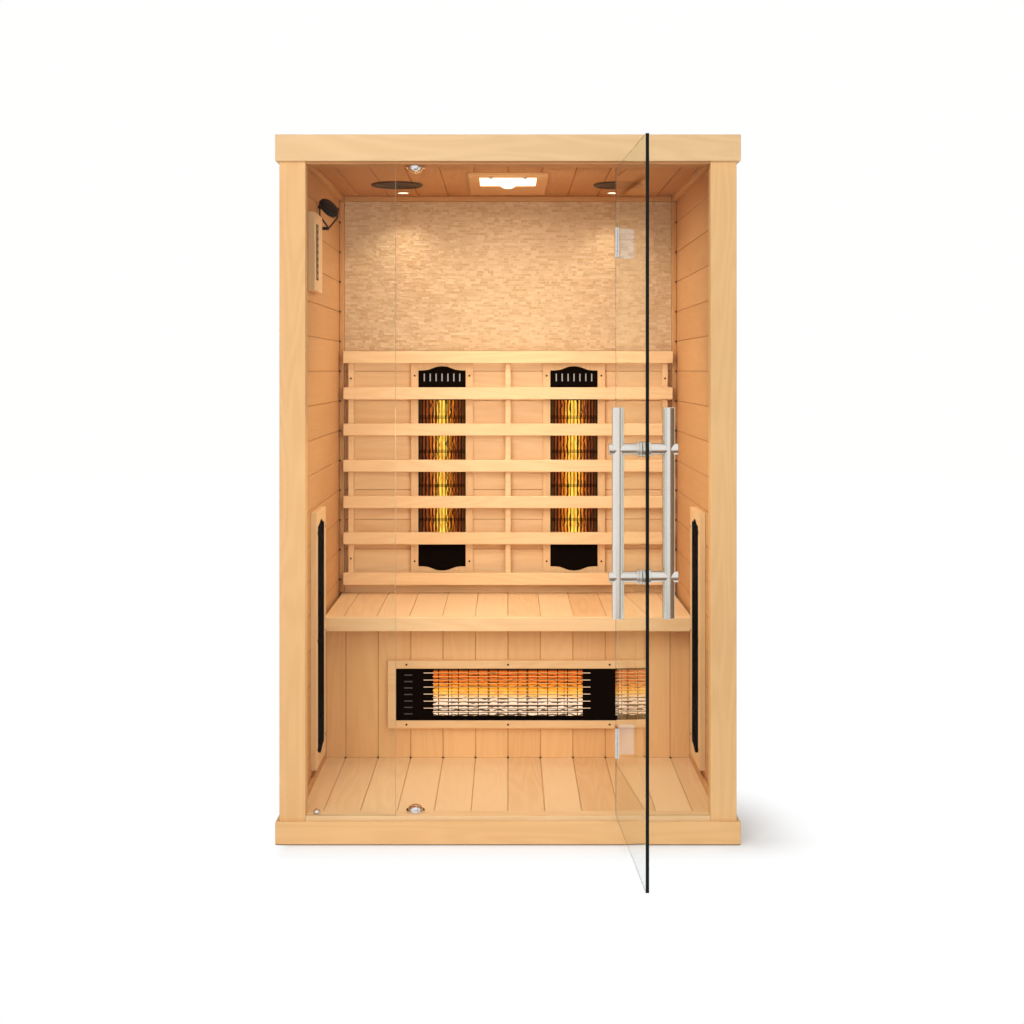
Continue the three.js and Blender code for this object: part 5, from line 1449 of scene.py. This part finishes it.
class SAUNA_OT_stage(bpy.types.Operator):
    """Set the floor, the background, the lights and the camera"""

    bl_idname = "sauna.stage"
    bl_label = "Studio"

    warm_white = (1.0, 0.91, 0.76)

    def execute(self, context):
        scene = context.scene
        scene.view_settings.view_transform = "Standard"
        self.floor(scene)
        self.background(scene)
        self.lamp(scene, "key_softbox", (-1.7, -4.4, 3.2), (0, -0.4, 0.9), 2.6, 108.0)
        self.lamp(scene, "fill_softbox", (1.6, -4.8, 1.2), (0, 0.0, 0.7), 2.8, 50.0)
        self.lamp(scene, "back_softbox", (0.6, 3.6, 2.6), (0, 0.5, 1.0), 2.4, 60.0)
        self.flags(scene)
        self.lamp(scene, "room_glow", (0, -0.30, 1.67), (0, 0.49, 1.12), 0.34, 1.3, self.warm_white)
        self.lamp(scene, "foot_glow", (0, -0.48, 1.2), (0, 0.1, 0.2), 0.6, 3.8, self.warm_white)
        under_lens = (0, 0.03, CEILING - 45 * MM)
        self.lamp(scene, "ceiling_light", under_lens, (0, 0.03, 0), 0.16, 3.4, (1.0, 0.95, 0.86))
        for name, _ in SIDES:
            self.beam(scene, f"{name}_downlight")
        self.camera(scene)
        return {"FINISHED"}

    def beam(self, scene, node):
        """Light that a downlight throws down the back wall."""
        low, high = span(node)
        spot = bpy.data.lights.new("downlight_beam", "SPOT")
        spot.energy = 2.8
        spot.color = self.warm_white
        spot.spot_size = math.radians(120)
        spot.spot_blend = 1.0
        spot.shadow_soft_size = 15 * MM
        beam = bpy.data.objects.new("downlight_beam", spot)
        beam.location = ((low.x + high.x) / 2, (low.y + high.y) / 2, CEILING - 12 * MM)
        scene.collection.objects.link(beam)

    def floor(self, scene):
        """Round floor just under the cabin."""
        shape = bmesh.new()
        bmesh.ops.create_circle(shape, cap_ends=True, segments=96, radius=14.0)
        ground = piece_from(shape, "studio_floor")
        ground.location.z = -0.4 * MM
        ground.data.materials.append(studio_floor())
        scene.collection.objects.link(ground)

    def background(self, scene):
        """White where it is seen, and dimmer as a light."""
        world = bpy.data.worlds.new("studio")
        world.use_nodes = True
        tree = world.node_tree
        shade = tree.nodes["Background"]
        path = put(tree, "ShaderNodeLightPath")
        seen = maths(tree, "MAXIMUM", path.outputs["Is Camera Ray"], path.outputs["Is Glossy Ray"])
        seen = maths(tree, "MAXIMUM", seen, path.outputs["Is Transmission Ray"])
        shade.inputs["Color"].default_value = (1.0, 1.0, 0.995, 1)
        level = put(tree, "ShaderNodeMix", {0: seen, 2: 0.30, 3: 1.0}, data_type="FLOAT")
        tree.links.new(level.outputs[0], shade.inputs["Strength"])
        scene.world = world

    def lamp(self, scene, name, place, target, width, power, colour=(1.0, 1.0, 1.0)):
        """Square area lamp that lights the scene without being seen itself."""
        light = bpy.data.lights.new(name, "AREA")
        light.energy = power
        light.size = width
        light.color = colour
        lamp = bpy.data.objects.new(name, light)
        lamp.location = place
        lamp.rotation_euler = (Vector(target) - Vector(place)).to_track_quat("-Z", "Y").to_euler()
        lamp.visible_camera = False
        lamp.visible_glossy = False
        lamp.visible_transmission = False
        scene.collection.objects.link(lamp)

    def flags(self, scene):
        """Brown cards on the right and in front, which only reflections show."""
        shape = bmesh.new()
        add_box(shape, (1.9, -4.3, -0.2), (1.91, 0.6, 2.6))
        add_box(shape, (-1.2, -3.4, 0.25), (1.6, -1.2, 0.26))
        cards = piece_from(shape, "studio_flags")
        cards.data.materials.append(glowing("studio_flag", (0.13, 0.08, 0.045), 1.0))
        cards.visible_camera = False
        cards.visible_diffuse = False
        cards.visible_transmission = False
        cards.visible_shadow = False
        scene.collection.objects.link(cards)

    def camera(self, scene):
        """Level camera in front, shifted so that upright edges stay upright."""
        picture_width, pixels_right, pixels_up = 1024, 4, -141
        lens = bpy.data.cameras.new("front_camera")
        lens.lens = 52.23
        lens.sensor_width = 36.0
        lens.shift_x = pixels_right / picture_width
        lens.shift_y = pixels_up / picture_width
        eye = bpy.data.objects.new("front_camera", lens)
        eye.location = (0, -4.514, 1.2677)
        eye.rotation_euler = (math.pi / 2, 0, 0)
        scene.collection.objects.link(eye)
        scene.camera = eye


class SAUNA_PT_build(bpy.types.Panel):
    """Lists the steps that dress the cabin, with their settings"""

    bl_idname = "SAUNA_PT_build"
    bl_label = "Sauna Cabin"
    bl_space_type = "VIEW_3D"
    bl_region_type = "UI"
    bl_category = "Sauna"

    def draw(self, context):
        layout = self.layout
        for step in STEPS:
            layout.operator(step.bl_idname)
        for group in (context.scene.sauna_sizes, context.scene.sauna_colours):
            box = layout.box()
            for name in group.bl_rna.properties.keys():
                if name not in ("rna_type", "name"):
                    box.prop(group, name)


STEPS = (
    SAUNA_OT_stage, SAUNA_OT_shell, SAUNA_OT_trim, SAUNA_OT_glass, SAUNA_OT_hinges, SAUNA_OT_handles,
    SAUNA_OT_door_stops, SAUNA_OT_bench, SAUNA_OT_backrest, SAUNA_OT_stone, SAUNA_OT_heaters,
    SAUNA_OT_ceiling_fittings, SAUNA_OT_control_panel, SAUNA_OT_reading_lamp, SAUNA_OT_power)
CLASSES = (SaunaSizes, SaunaColours, *STEPS, SAUNA_PT_build)


def register():
    for kind in CLASSES:
        bpy.utils.register_class(kind)
    bpy.types.Scene.sauna_sizes = bpy.props.PointerProperty(type=SaunaSizes)
    bpy.types.Scene.sauna_colours = bpy.props.PointerProperty(type=SaunaColours)


def unregister():
    del bpy.types.Scene.sauna_colours
    del bpy.types.Scene.sauna_sizes
    for kind in reversed(CLASSES):
        bpy.utils.unregister_class(kind)


def main():
    register()
    bpy.ops.sauna.stage()
    bpy.ops.sauna.shell()
    bpy.ops.sauna.trim()
    bpy.ops.sauna.glass()
    bpy.ops.sauna.hinges()
    bpy.ops.sauna.handles()
    bpy.ops.sauna.door_stops()
    bpy.ops.sauna.bench()
    bpy.ops.sauna.backrest()
    bpy.ops.sauna.stone()
    bpy.ops.sauna.heaters()
    bpy.ops.sauna.ceiling_fittings()
    bpy.ops.sauna.control_panel()
    bpy.ops.sauna.reading_lamp()
    bpy.ops.sauna.power()
    bpy.context.view_layer.update()


if __name__ == "__main__":
    main()
